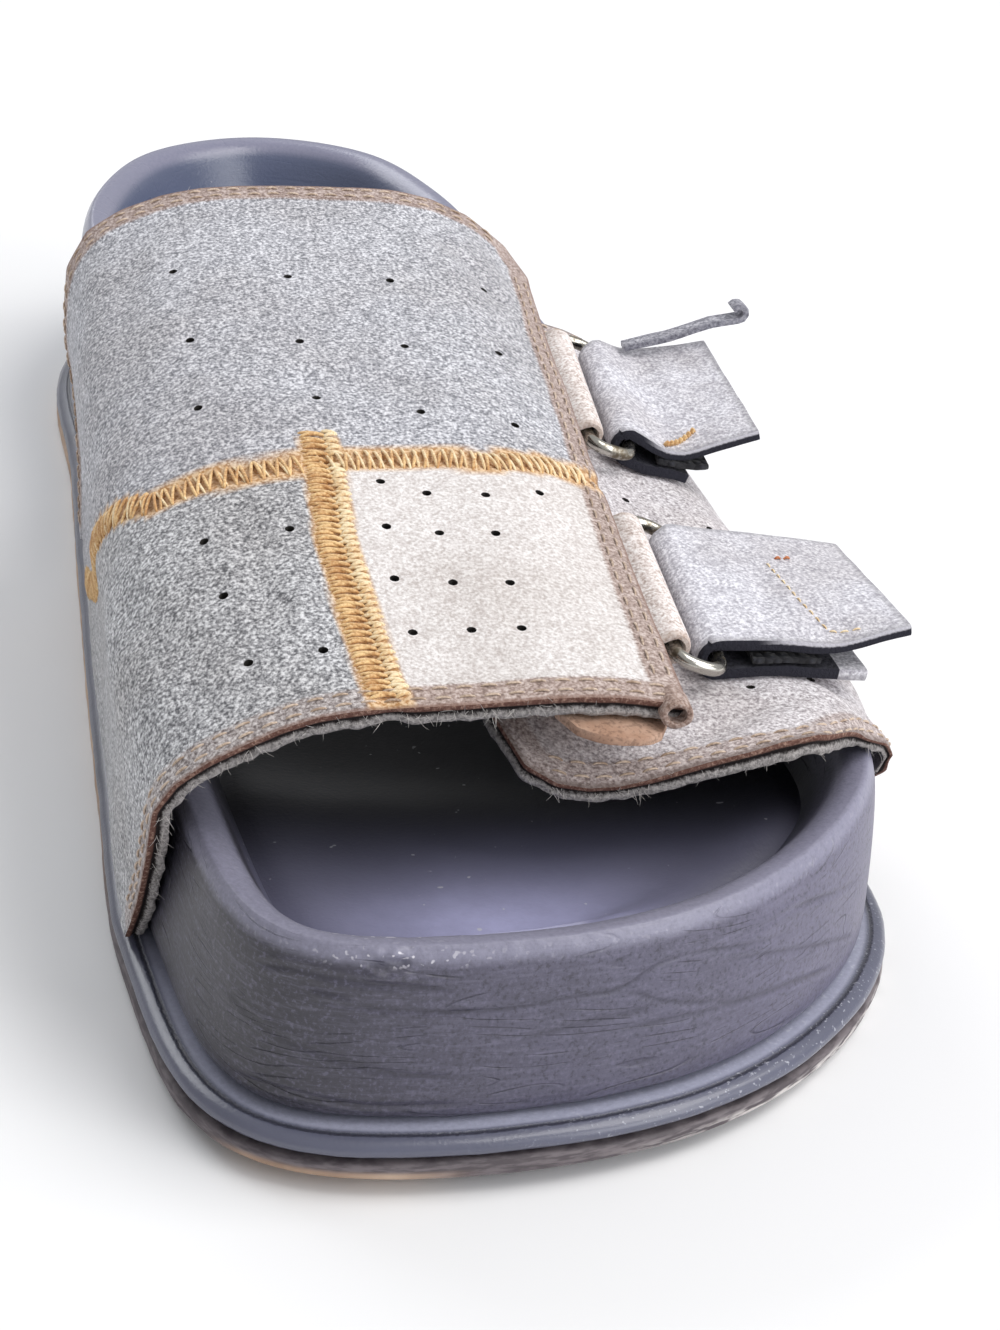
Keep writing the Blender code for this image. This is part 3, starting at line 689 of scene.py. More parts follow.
def footbed_rubber():
    """Moulded footbed: satin wall with fine wrinkles, painted lighter outward and near-black at the inner
    toe, a painted highlight along the rim with some wear, and a dusty dish with a painted highlight and
    painted shade under the upper.
    """
    material, tree, shader = new_material("footbed_foam")
    place = object_place(tree)
    x, y, _ = axes(tree, place)
    cloud = grain(tree, place, 14.0, 3.0, 0.6)
    pores = grain(tree, place, 0.55, 3.0, 0.6)
    brush = grain(tree, stretched(tree, place, (0.1, 0.1, 1.0)), 0.6, 4.0, 0.7)
    wander = grain(tree, stretched(tree, place, (0.15, 0.15, 1.0)), 5.0, 0.6, 0.4)
    contours = calc(tree, "PINGPONG", times(tree, wander, 9.0), 0.5)
    wrinkles = times(tree, step_up(tree, contours, 0.07, 0.0), mark_value(tree, "wall"))
    wrinkles = times(tree, wrinkles, step_up(tree, grain(tree, place, 7.0), 0.46, 0.62))
    wrinkles = times(tree, wrinkles, spread(tree, step_up(tree, y, 0.0, -0.08), 0.15, 1.0))
    wall = laid(tree, step_up(tree, cloud, 0.3, 0.7), (0.080, 0.075, 0.110), (0.104, 0.098, 0.148))
    # Painted light: the wall is painted lighter towards the outer side, where the light falls.
    wall = laid(tree, step_up(tree, x, 0.0, 0.045), wall, (0.122, 0.114, 0.178))
    # Painted shade: the inner side of the toe wall is painted near-black.
    inner_toe = times(tree, step_up(tree, x, -0.004, -0.038), step_up(tree, y, -0.02, -0.08))
    wall = laid(tree, inner_toe, wall, (0.033, 0.031, 0.041))
    wall = tinted(tree, wall, (0.20, 0.19, 0.27), brush, 0.45, 0.72, 0.3)
    wall = tinted(tree, wall, (0.17, 0.16, 0.24), pores, 0.52, 0.70, 0.4)
    wall = tinted(tree, wall, (0.030, 0.028, 0.040), pores, 0.48, 0.32, 0.55)
    # Painted shade in the creases, the nick and the fine wrinkles, darker where they are deeper.
    crease_shade = calc(tree, "MAXIMUM", mark_value(tree, "fold"), times(tree, wrinkles, 0.55))
    wall = laid(tree, times(tree, crease_shade, 0.58), wall, (0.026, 0.024, 0.036))
    dish = mark_value(tree, "dish")
    dished = laid(tree, cloud, (0.085, 0.084, 0.125), (0.12, 0.119, 0.175))
    # Painted highlight: a pale blue patch in the middle of the dish's front.
    wear_and_highlight = times(tree, mark_value(tree, "wear_and_highlight"), spread(tree, brush, 0.5, 1.0))
    dished = laid(tree, wear_and_highlight, dished, (0.44, 0.44, 0.68))
    # Painted shade: the dish is painted near-black under the upper.
    shade_under_upper = times(tree, step_up(tree, y, -0.100, -0.082), step_up(tree, y, 0.045, 0.005))
    dished = laid(tree, times(tree, shade_under_upper, 0.92), dished, (0.010, 0.010, 0.013))
    colour = laid(tree, dish, wall, dished)
    # Painted reflection: the heel end is tinted sky blue for the light reflected inside the glossy heel.
    heel = step_up(tree, y, 0.03, 0.10)
    colour = laid(tree, times(tree, heel, 0.8), colour, (0.098, 0.122, 0.20))
    # Painted highlight along the rim's crest, partly rubbed wear.
    rim = times(tree, mark_value(tree, "rim"), spread(tree, pores, 0.5, 1.0))
    colour = laid(tree, rim, colour, (0.27, 0.265, 0.35))
    dots = step_up(tree, grain(tree, place, 0.8, 1.0), 0.62, 0.70)
    colour = laid(tree, times(tree, dots, mark_value(tree, "nicked")), colour, (0.66, 0.64, 0.70))
    dust = step_up(tree, grain(tree, place, 1.3, 1.0), 0.77, 0.82)
    colour = laid(tree, times(tree, dust, times(tree, dish, 0.7)), colour, (0.5, 0.5, 0.54))
    gloss = calc(tree, "SUBTRACT", spread(tree, cloud, 0.40, 0.54), times(tree, heel, 0.2))
    height = calc(tree, "SUBTRACT", times(tree, brush, 0.3), wrinkles)
    relief = bumped(tree, pores, 0.08, 0.7, bumped(tree, height, 0.2, 0.9))
    wired(tree, shader, colour=colour, roughness=gloss, normal=relief, coat=0.15, coat_roughness=0.25)
    return material


def welt_rubber():
    """Dark glossy welt: its front painted lighter, a fine pale line along the footbed's wall as painted
    highlight, a painted shade line beyond it, and painted glints at the outer toe.
    """
    material, tree, shader = new_material("welt_rubber")
    place = object_place(tree)
    x, y, _ = axes(tree, place)
    cloud = grain(tree, place, 12.0, 2.0)
    fine = grain(tree, place, 0.6, 3.0, 0.65)
    gap = calc(tree, "ADD", mark_value(tree, "wall_gap"), spread(tree, fine, -0.2, 0.2))
    colour = laid(tree, step_up(tree, cloud, 0.3, 0.7), (0.056, 0.059, 0.088), (0.080, 0.084, 0.126))
    # Painted light: the welt's front is painted lighter, as lit from the front.
    toe = step_up(tree, y, -0.05, -0.11)
    colour = laid(tree, times(tree, toe, 0.6), colour, (0.13, 0.135, 0.19))
    # Painted highlight: a pale band on the ledge next to the footbed's wall.
    ledge_highlight = times(tree, step_up(tree, gap, 2.1, 1.5), spread(tree, toe, 0.05, 0.9))
    ledge_highlight = times(tree, ledge_highlight, spread(tree, fine, 0.5, 1.15))
    colour = laid(tree, ledge_highlight, colour, (0.45, 0.46, 0.58))
    # Painted shade: a dark line in the channel just beyond the pale band.
    shaded_groove = times(tree, step_up(tree, gap, 2.0, 2.25), step_up(tree, gap, 2.7, 2.35))
    colour = laid(tree, times(tree, shaded_groove, 0.75), colour, (0.022, 0.022, 0.032))
    outer_toe = times(tree, toe, step_up(tree, x, -0.02, 0.025))
    glints = times(tree, step_up(tree, fine, 0.60, 0.68), times(tree, outer_toe, 0.7))
    colour = laid(tree, glints, colour, (0.50, 0.51, 0.57))
    colour = tinted(tree, colour, (0.02, 0.019, 0.023), mark_value(tree, "lift"), 1.0, 0.2, 0.6)
    height = calc(tree, "SUBTRACT", times(tree, fine, 0.3), shaded_groove)
    wired(tree, shader, colour=colour, normal=bumped(tree, height, 0.25, 0.8))
    wired(tree, shader, roughness=spread(tree, cloud, 0.24, 0.40), coat=0.35, coat_roughness=0.18)
    return material


def gum_rubber():
    """Outsole edge: smoky grey round the front, standing partly for painted shade on the inner side; tan at
    the inner toe and behind; paler streaks low on the outer side; a wave tread below.
    """
    material, tree, shader = new_material("gum_rubber")
    place = object_place(tree)
    x, y, _ = axes(tree, place)
    cloud = grain(tree, place, 11.0, 3.0, 0.6)
    pores = grain(tree, place, 0.8, 3.0, 0.6)
    streak = grain(tree, stretched(tree, place, (0.2, 0.2, 1.4)), 0.8, 3.0, 0.6)
    lift = mark_value(tree, "lift")
    colour = laid(tree, step_up(tree, cloud, 0.3, 0.7), (0.34, 0.22, 0.15), (0.54, 0.40, 0.30))
    inner_toe = times(tree, step_up(tree, x, -0.010, -0.022), step_up(tree, x, -0.041, -0.036))
    inner_toe = times(tree, inner_toe, step_up(tree, lift, 2.0, 1.2))
    front = times(tree, step_up(tree, y, -0.03, -0.08), calc(tree, "SUBTRACT", 1.0, inner_toe))
    # Smoky grey round the front; on the inner side it is painted shade.
    smoked_and_shaded = laid(tree, step_up(tree, streak, 0.38, 0.62), (0.085, 0.070, 0.078), (0.17, 0.145, 0.155))
    colour = laid(tree, front, colour, smoked_and_shaded)
    # Paler streaks low on the outer side.
    pale_streaks = times(tree, step_up(tree, x, 0.0, 0.03), step_up(tree, streak, 0.40, 0.58))
    pale_streaks = times(tree, pale_streaks, step_up(tree, lift, 2.2, 1.3))
    colour = laid(tree, times(tree, pale_streaks, 0.85), colour, (0.72, 0.68, 0.66))
    tread = node(
        tree, "ShaderNodeTexWave", {"Vector": place, "Scale": 55.0, "Distortion": 3.0, "Detail": 1.0},
        bands_direction="Y",
    ).outputs["Fac"]
    under = times(tree, tread, step_up(tree, lift, 0.4, 0.1))
    relief = bumped(tree, pores, 0.08, 0.6, bumped(tree, under, 0.8))
    wired(tree, shader, colour=colour, roughness=spread(tree, cloud, 0.5, 0.7), normal=relief)
    return material


def hook_tape():
    """Near-black hook tape: a dense field of small stiff hooks."""
    material, tree, shader = new_material("hook_tape")
    place = object_place(tree)
    hooks = node(tree, "ShaderNodeTexVoronoi", {"Vector": place, "Scale": 900.0}).outputs["Distance"]
    fluff = grain(tree, place, 2.2, 3.0, 0.6)
    colour = colours(tree, hooks, [(0.1, (0.020, 0.021, 0.030)), (0.5, (0.005, 0.005, 0.008))])
    colour = tinted(tree, colour, (0.2, 0.2, 0.21), fluff, 0.64, 0.74, 0.2)
    wired(tree, shader, colour=colour, normal=bumped(tree, hooks, -0.5), roughness=0.8, sheen=0.1)
    return material


def aged_brass():
    """Plated wire, bright where it rubs and brown where it is dull."""
    material, tree, shader = new_material("aged_brass")
    place = object_place(tree)
    cloud = grain(tree, place, 2.6, 4.0, 0.65)
    scratch = grain(tree, stretched(tree, place, (1.0, 0.15, 1.0)), 0.35, 2.0)
    dull = step_up(tree, cloud, 0.45, 0.62)
    colour = laid(tree, dull, (0.52, 0.50, 0.45), (0.17, 0.14, 0.10))
    roughness = calc(tree, "ADD", spread(tree, dull, 0.2, 0.5), spread(tree, scratch, -0.06, 0.1))
    wired(tree, shader, colour=colour, normal=bumped(tree, scratch, 0.03, 0.4))
    wired(tree, shader, roughness=roughness, metallic=1.0)
    return material


def loose_lint():
    material, tree, shader = new_material("loose_lint")
    tint = grain(tree, object_place(tree), 4.0, 1.0)
    wired(tree, shader, colour=laid(tree, tint, (0.42, 0.39, 0.37), (0.72, 0.69, 0.66)), roughness=0.95)
    return material


# Upper panels
def classed_faces(piece, corner_deg=60.0):
    """Sorts a sheet's faces into skin, lining and cut edge, which meet at its sharp corners."""
    pick(piece)
    bpy.ops.object.mode_set(mode="EDIT")
    bpy.ops.mesh.select_all(action="DESELECT")
    bpy.ops.mesh.select_mode(type="EDGE")
    bpy.ops.mesh.edges_select_sharp(sharpness=math.radians(corner_deg))
    bpy.ops.mesh.mark_sharp()
    bpy.ops.mesh.select_mode(type="FACE")
    bpy.ops.object.mode_set(mode="OBJECT")
    faces = piece.data.polygons
    for face in faces:
        face.material_index = CUT_EDGE
    for kind, facing in ((OUTER, 1), (LINING, -1)):
        level = [face for face in faces if face.normal.z * facing > 0.8]
        first = max(level, key=lambda face: face.center.z).index
        edit_faces(piece, lambda face: face.index == first)
        bpy.ops.mesh.select_linked(delimit={"SHARP"})
        bpy.ops.object.mode_set(mode="OBJECT")
        for face in faces:
            if face.select:
                face.material_index = kind
    bpy.ops.object.mode_set(mode="EDIT")
    bpy.ops.mesh.select_all(action="SELECT")
    bpy.ops.mesh.mark_sharp(clear=True)
    bpy.ops.mesh.select_mode(type="VERT")
    bpy.ops.object.mode_set(mode="OBJECT")


def points_of_faces(mesh, kind):
    """Which points belong to at least one face of a kind."""
    found = np.zeros(len(mesh.vertices), bool)
    for face in mesh.polygons:
        if face.material_index == kind:
            found[list(face.vertices)] = True
    return found


def tree_of(spots):
    tree = KDTree(len(spots))
    for index, spot in enumerate(spots):
        tree.insert(spot, index)
    tree.balance()
    return tree


WELTED_Z = 11.0


def edge_places(piece):
    """Each point's distance to the free edges, its place across the thickness, and if it is on an edge."""
    spots, _ = places(piece)
    outer = points_of_faces(piece.data, OUTER)
    lining = points_of_faces(piece.data, LINING)
    edge = points_of_faces(piece.data, CUT_EDGE)
    border_tree = tree_of(spots[outer & edge & (spots[:, 2] > WELTED_Z)])
    distance = np.array([border_tree.find(spot)[2] for spot in spots])
    outer_tree = tree_of(spots[outer])
    lining_tree = tree_of(spots[lining])
    across = np.zeros(len(spots))
    across[lining & ~edge] = 1.0
    for index in np.flatnonzero(edge):
        to_outer = outer_tree.find(spots[index])[2]
        to_lining = lining_tree.find(spots[index])[2]
        across[index] = to_outer / max(to_outer + to_lining, 1e-6)
    return distance, across, edge


def edge_marks(piece):
    """Marks what a panel's materials read of its edges."""
    distance, across, _ = edge_places(piece)
    marked(piece, "edge_mm", distance)
    marked(piece, "across", across)


def frayed_edge(piece, across, edge):
    """Parts the skin from the lining along a cut edge, and roughens the lining's side."""
    spots, _ = places(piece)
    joint = -0.45 * np.exp(-((across - 0.48) / 0.13) ** 2)
    rough = 0.35 * unevenness(spots, 1.6, 5.0) * ease(across, 0.5, 0.8)
    pushed(piece, np.where(edge, joint + rough, 0.0))


def pierced(piece, holes, radius):
    """Cuts pinholes square to the surface through a panel that has its materials."""
    tree = skin(piece)
    cutters = []
    for x, y in holes:
        spot, normal = above(tree, x, y)
        turn = normal.to_track_quat("Z", "Y").to_matrix().to_4x4()
        bpy.ops.mesh.primitive_cylinder_add(vertices=10, radius=radius * MM, depth=7 * MM)
        cutter = bpy.context.object
        cutter.data.transform(Matrix.Translation(spot * MM) @ turn)
        cutters.append(cutter)
    punch = joined("punch", cutters)
    for material in piece.data.materials:
        punch.data.materials.append(material)
    for face in punch.data.polygons:
        face.material_index = PINHOLE
    apply_step(piece, "BOOLEAN", operation="DIFFERENCE", solver="MANIFOLD", object=punch)
    bpy.data.objects.remove(punch)


def dimpled(spots, holes, tree, depth, width):
    """Offsets that draw the skin in a little round every pinhole."""
    offset = np.zeros(len(spots))
    for x, y in holes:
        spot, _ = above(tree, x, y)
        gap = np.linalg.norm(spots - np.array(spot), axis=1)
        offset -= depth * np.exp(-(gap / width) ** 2)
    return offset


CROSS_SEAM_ANGLE = [60.0, 74.9, 86.3, 96.9, 110.2, 116.4, 122.4, 129.2, 138.3, 150.0, 160.0, 173.0]
CROSS_SEAM_Y = [-49.5, -50.2, -52.6, -51.5, -52.2, -52.5, -52.0, -51.4, -43.0, -27.0, -8.0, 16.0]
LONG_SEAM_Y = [-101.0, -87.0, -70.3, -57.1, -45.2]
LONG_SEAM_X = [-18.2, -18.9, -19.3, -18.4, -17.8]
LONG_SEAM_END = (-6.5, -5.0)
SEAM_BAND = (3.0, 2.5)
PINHOLE_RADIUS, SIDE_PINHOLE_RADIUS = 0.62, 0.60
PINHOLE_DIMPLE = (0.3, 1.1)

MAIN_HOLES = [
    (-31.1, 1.2), (-15.4, -3.9), (-0.7, -4.7), (14.4, 0.0),
    (-31.0, -18.0), (-16.5, -22.1), (-2.1, -23.6), (11.9, -21.4),
    (-32.0, -35.2), (-16.5, -36.7), (-3.1, -40.7), (9.7, -41.7),
    (-24.5, -66.0), (-34.8, -64.1), (-33.9, -75.6), (-32.7, -88.8), (-24.1, -89.8),
    (-11.4, -56.6), (-5.9, -59.4), (1.6, -60.3), (9.3, -58.2),
    (-12.4, -66.5), (-6.0, -68.3), (1.1, -68.8),
    (-13.3, -77.1), (-6.3, -78.5), (0.7, -79.1),
    (-13.0, -87.6), (-5.9, -87.8), (0.2, -88.0),
]
SIDE_HOLES = [(27.7, -37.2), (39.6, -39.9), (31.4, -84.9), (41.0, -80.7)]

ROLL_MIDDLE = (15.9, -97.4, 45.0)
ROLL_LEAN = (0.03, 0.0, -0.02)
ROLL_LENGTH = 11.6
ROLL_RADIUS = 2.0

MAIN_CREASES = [
    Crease(0.55, 2.6, [(-44, -60, 42), (-42, -72, 42.5), (-39, -84, 42.5), (-37, -95, 41)]),
    Crease(0.45, 3.0, [(-36, 16, 60), (-39, -6, 57), (-41, -26, 53)]),
    Crease(0.50, 2.2, [(4, 20, 63), (12, 8, 60), (17, -6, 56.5)]),
    Crease(0.40, 2.0, [(-30, -56, 53), (-29, -70, 51.5), (-30, -84, 49)]),
    Crease(0.35, 2.4, [(-26, -30, 57), (-12, -34, 57), (2, -33, 56)]),
]
SIDE_CREASES = [
    Crease(0.45, 2.0, [(46, -86, 34), (38, -78, 38), (30, -76, 38.5)]),
    Crease(0.40, 2.0, [(48, -40, 36), (42, -42, 38), (36, -44, 39)]),
    Crease(0.35, 1.8, [(20, -98, 37), (28, -92, 38), (38, -88, 38)]),
]


def seam_distances(spots):
    """How far each spot lies in front of the cross seam, and outside of the long seam."""
    angle = np.degrees(np.arctan2(spots[:, 2], spots[:, 0]))
    cross = np.interp(angle, CROSS_SEAM_ANGLE, CROSS_SEAM_Y) - spots[:, 1]
    long = spots[:, 0] - np.interp(spots[:, 1], LONG_SEAM_Y, LONG_SEAM_X)
    return cross, long


def panel_start(solid_name):
    """A panel's rounded copy, with its faces sorted."""
    piece = copied_solid(solid_name)
    classed_faces(piece)
    rounded(piece, 3)
    return piece


def panel_materials(suede):
    """A panel's materials in the order of its kinds of face."""
    return [suede, lining_material, edge_material, hole_material]


def main_panel():
    """The wrap panel: shaped, sewn from three patches, hemmed and pierced."""
    piece = panel_start("upper_main_panel")
    spots, _ = places(piece)
    offset = creased(spots, MAIN_CREASES) + 0.25 * unevenness(spots, 14.0, 2.0)
    offset += 0.12 * unevenness(spots, 5.0, 8.0)
    cross, long = seam_distances(spots)
    ahead = ease(cross, *LONG_SEAM_END)
    offset -= 0.45 * np.exp(-(cross / 1.6) ** 2) + 0.45 * ahead * np.exp(-(long / 1.6) ** 2)
    offset += dimpled(spots, MAIN_HOLES, skin(piece), *PINHOLE_DIMPLE)
    pushed(piece, offset)
    _, across, edge = edge_places(piece)
    frayed_edge(piece, across, edge)
    finished(piece, "grey_suede", panel_materials(patchwork_suede()), "upper_main_panel")
    pierced(piece, MAIN_HOLES, PINHOLE_RADIUS)
    edge_marks(piece)
    spots, _ = places(piece)
    cross, long = seam_distances(spots)
    ahead = ease(cross, *LONG_SEAM_END)
    band = np.maximum(ease(np.abs(cross), *SEAM_BAND), ahead * ease(np.abs(long), *SEAM_BAND))
    inner_front = ease(cross, 0.0, 6.0) * ease(long, 0.0, -4.0)
    marked(piece, "cross_seam", cross)
    marked(piece, "long_seam", long)
    marked(piece, "seam_band", band)
    marked(piece, "hem_share", 1.0 - 0.55 * inner_front)
    smooth_shaded(piece)
    return piece


CORNER_TUCK = (1.2, 4.0, 0.0)
CORNER_THIN = (1.3, 0.0, 0.0)


def tucked_corner(piece, across):
    """Draws the side panel's front lower corner back along the rim, and thins its skin there."""
    spots, _ = places(piece)
    x, y, z = spots.T
    tuck = ease(x, 34, 43) * ease(y, -80, -95) * ease(z, 21, 27)
    thin = ease(x, 40, 47) * ease(y, -72, -84) * ease(z, 21, 27) * (1 - across)
    moved_to(piece, spots + tuck[:, None] * np.array(CORNER_TUCK) - thin[:, None] * np.array(CORNER_THIN))


def side_panel():
    """The outer side panel under the straps."""
    piece = panel_start("upper_side_panel")
    spots, _ = places(piece)
    offset = creased(spots, SIDE_CREASES) + 0.3 * unevenness(spots, 12.0, 3.0)
    offset += dimpled(spots, SIDE_HOLES, skin(piece), *PINHOLE_DIMPLE)
    pushed(piece, offset)
    _, across, edge = edge_places(piece)
    tucked_corner(piece, across)
    frayed_edge(piece, across, edge)
    suede = plain_suede("side_suede", SIDE_BEIGE, 0.7, (0.13, 0.09, 0.075), 0.6)
    finished(piece, "grey_suede", panel_materials(suede), "upper_side_panel")
    pierced(piece, SIDE_HOLES, SIDE_PINHOLE_RADIUS)
    edge_marks(piece)
    smooth_shaded(piece)
    return piece


def rolled_corner():
    """The end of the outer hem, rolled under at the main panel's front corner."""
    bpy.ops.object.select_all(action="DESELECT")
    bpy.ops.mesh.primitive_cylinder_add(
        vertices=20, radius=ROLL_RADIUS * MM, depth=ROLL_LENGTH * MM, rotation=(math.radians(90), 0, 0)
    )
    piece = bpy.context.object
    bpy.ops.object.transform_apply(location=False, rotation=True, scale=False)
    piece.name = "hem_corner_roll"
    edit_faces(piece, lambda face: face.normal.y < -0.9)
    bpy.ops.mesh.inset(thickness=0.25 * MM)
    bpy.ops.transform.translate(value=(0, -0.25 * MM, 0))
    bpy.ops.mesh.inset(thickness=0.55 * MM)
    bpy.ops.mesh.inset(thickness=0.2 * MM)
    bpy.ops.transform.translate(value=(0.1 * MM, 2.6 * MM, 0))
    bpy.ops.mesh.select_mode(type="EDGE")
    bpy.ops.mesh.select_all(action="DESELECT")
    bpy.ops.mesh.edges_select_sharp(sharpness=math.radians(40))
    bpy.ops.transform.edge_crease(value=0.7)
    bpy.ops.mesh.select_mode(type="VERT")
    bpy.ops.object.mode_set(mode="OBJECT")
    rounded(piece, 2)
    spots, _ = places(piece)
    back = ease(spots[:, 1], -4.0, ROLL_LENGTH / 2)
    squeeze = 1.0 - 0.75 * back
    swell = 1.0 + 0.16 * unevenness(spots, 1.7, 3.0)
    spots[:, 0] *= squeeze * swell * 1.05
    spots[:, 2] *= squeeze * swell * 0.95
    spots += np.array(ROLL_MIDDLE) + spots[:, 1:2] * np.array(ROLL_LEAN)
    moved_to(piece, spots)
    marked(piece, "edge_mm", np.full(len(spots), 0.7))
    smooth_shaded(piece)
    finished(piece, "tan_leather", [plain_suede("rolled_hem", HEM_TAN, 0.35, (0.26, 0.15, 0.10))])


# Seams and hems
def cross_line(tree, angles):
    """The seam across the main panel, as a sewing line at the given angles round the foot."""
    return [around(tree, angle, float(np.interp(angle, CROSS_SEAM_ANGLE, CROSS_SEAM_Y))) for angle in angles]


def long_line(tree, ys):
    return [above(tree, float(np.interp(y, LONG_SEAM_Y, LONG_SEAM_X)), y) for y in ys]


def patch_seams(panel):
    """Zigzag threads over the three seams between the patches."""
    tree = skin(panel)
    inner = cross_line(tree, np.linspace(170, 111, 44))
    outer = cross_line(tree, np.linspace(109, 71, 28))
    lengthwise = long_line(tree, np.linspace(-45.5, -100.5, 34))
    seams = (
        ("seam_inner_zigzag", inner, 0.24, ochre_thread,
         [ThreadRow(1.7, -2.4, 2.4, 0.5, 0.0), ThreadRow(1.7, 2.4, -2.4, 0.5, 0.5)]),
        ("seam_inner_pale", inner, 0.2, straw_thread, [ThreadRow(2.6, -2.3, 2.3, -0.5, 0.3)]),
        ("seam_long_ochre", lengthwise, 0.26, ochre_thread,
         [ThreadRow(1.35, -2.7, 1.3, 0.6, 0.0), ThreadRow(1.35, 0.4, -2.6, 0.4, 0.3)]),
        ("seam_long_pale", lengthwise, 0.26, straw_thread,
         [ThreadRow(1.35, 0.0, 2.9, 0.5, 0.0), ThreadRow(1.35, 2.7, 0.7, 0.35, 0.4)]),
        ("seam_outer_ochre", outer, 0.24, ochre_thread, [ThreadRow(1.5, -2.4, 2.2, 0.55, 0.0)]),
        ("seam_outer_pale", outer, 0.24, straw_thread, [ThreadRow(1.2, 2.5, -2.4, 0.45, 0.2)]),
    )
    for name, line, radius, material, rows in seams:
        stitches = []
        for row in rows:
            stitches += crossing(tree, line, row)
        sewn(name, stitches, radius, material)


MAIN_REAR_HEM = Hem(168, 70, 60, 10, 45)
MAIN_OUTER_HEM = Hem(12, -97, 50, 85, 40)
MAIN_FRONT_HEM = Hem(165, 71, 60, -80, -118)
SIDE_FRONT_HEM = Hem(16, 88, 50, -50, -118)
SIDE_REAR_HEM = Hem(12, 70, 36, 5, 40)
HEM_THREAD_RADIUS = 0.16


def hem_rows(main, side):
    """Two rows of stitches along every hem."""
    tree = skin(main)
    rows = []
    for inset in (1.4, 3.2):
        rows += running(row_round(tree, MAIN_REAR_HEM, inset), 2.9)
        rows += running(row_along(tree, MAIN_OUTER_HEM, inset), 2.9)
        rows += running(row_round(tree, MAIN_FRONT_HEM, inset), 2.9)
    sewn("main_hem_stitches", rows, HEM_THREAD_RADIUS, tan_thread)
    tree = skin(side)
    rows = []
    for inset in (1.5, 3.6):
        for hem in (SIDE_FRONT_HEM, SIDE_REAR_HEM):
            rows += running(row_round(tree, hem, inset), 2.8)
    sewn("side_hem_stitches", rows, HEM_THREAD_RADIUS, tan_thread)


def fringe(tree, count, angles, hem, depths, way):
    """Roots and directions of loose fibres along a front edge, way -1, or a rear one, way 1."""
    roots = []
    for _ in range(count):
        angle = chance.uniform(*angles)
        spot, normal = around(tree, angle, edge_y(tree, angle, hem) - 0.05 * way)
        if spot is not None:
            roots.append((spot - normal * chance.uniform(*depths), Vector((0, way, 0)) + normal * 0.3 * way))
    return roots


def edge_lint(main, side):
    """Loose fibres along the cut edges."""
    tree = skin(main)
    roots = fringe(tree, 170, (72, 160), MAIN_FRONT_HEM, (0.9, 2.0), -1)
    roots += fringe(tree, 70, (72, 150), MAIN_REAR_HEM, (0.2, 1.6), 1)
    roots += fringe(skin(side), 110, (20, 95), SIDE_FRONT_HEM, (0.8, 2.0), -1)
    lint("edge_lint", roots, 1.6, 0.045, loose_lint(), "grey_suede")


# Straps, keepers and rings
StrapLook = namedtuple("StrapLook", "sag sag_x sag_width lower_top suede_from")


def strap(name, creases, look):
    """A folded strap: suede outside, dark edges, partly painted shade, and a dark loop side, with its front
    edge sagging.

    The lower layer reaches up to lower_top, and is suede further out than suede_from.
    """
    piece = copied_solid(name, 50.0, 0.7)
    classed_faces(piece)
    rounded(piece, 2)
    spots, _ = places(piece)
    front = ease(spots[:, 1], spots[:, 1].min() + 8.0, spots[:, 1].min())
    leaf = ease(spots[:, 2], look.lower_top, look.lower_top + 1.0)
    pushed(piece, creased(spots, creases) + 0.14 * unevenness(spots, 6.0, 4.0))
    spots, _ = places(piece)
    spots[:, 2] -= look.sag * front * leaf * np.exp(-((spots[:, 0] - look.sag_x) / look.sag_width) ** 2)
    moved_to(piece, spots)
    distance, across, _ = edge_places(piece)
    # Painted shade: the lower layer's edges take the dark part of the edge material, under the upper leaf.
    across[spots[:, 2] < look.lower_top] = 1.0
    marked(piece, "edge_mm", distance)
    marked(piece, "across", across)
    for face in piece.data.polygons:
        middle = face.center / MM
        if middle.z < look.lower_top and middle.x > look.suede_from:
            face.material_index = OUTER
    smooth_shaded(piece)
    finished(piece, "strap_suede", [strap_material, loop_material, strap_edge_material], name)
    return piece


def strap_rows(piece, name, corners, pitch, radius, material):
    """A sewn line over a strap's upper side through its corners."""
    tree = skin(piece)
    line = []
    for (xa, ya), (xb, yb) in zip(corners, corners[1:]):
        count = max(2, int(math.hypot(xb - xa, yb - ya)))
        line += [above(tree, xa + (xb - xa) * t, ya + (yb - ya) * t) for t in np.linspace(0, 1, count)]
    sewn(name, running(on_piece(line), pitch), radius, material, "strap_suede")


def small_leather(name, material, slot):
    """A small flat piece, with its distance from its two side edges marked."""
    piece = copied_solid(name, 50.0, 0.6)
    rounded(piece, 2)
    spots, _ = places(piece)
    pushed(piece, 0.1 * unevenness(spots, 4.0, 6.0))
    y = spots[:, 1]
    marked(piece, "edge_mm", np.minimum(y - y.min(), y.max() - y))
    smooth_shaded(piece)
    finished(piece, slot, [material], name)


def wire_ring(name):
    piece = copied_solid(name, 80.0, 0.0)
    rounded(piece, 2)
    smooth_shaded(piece, 80.0)
    finished(piece, "aged_brass", [brass_material], name)


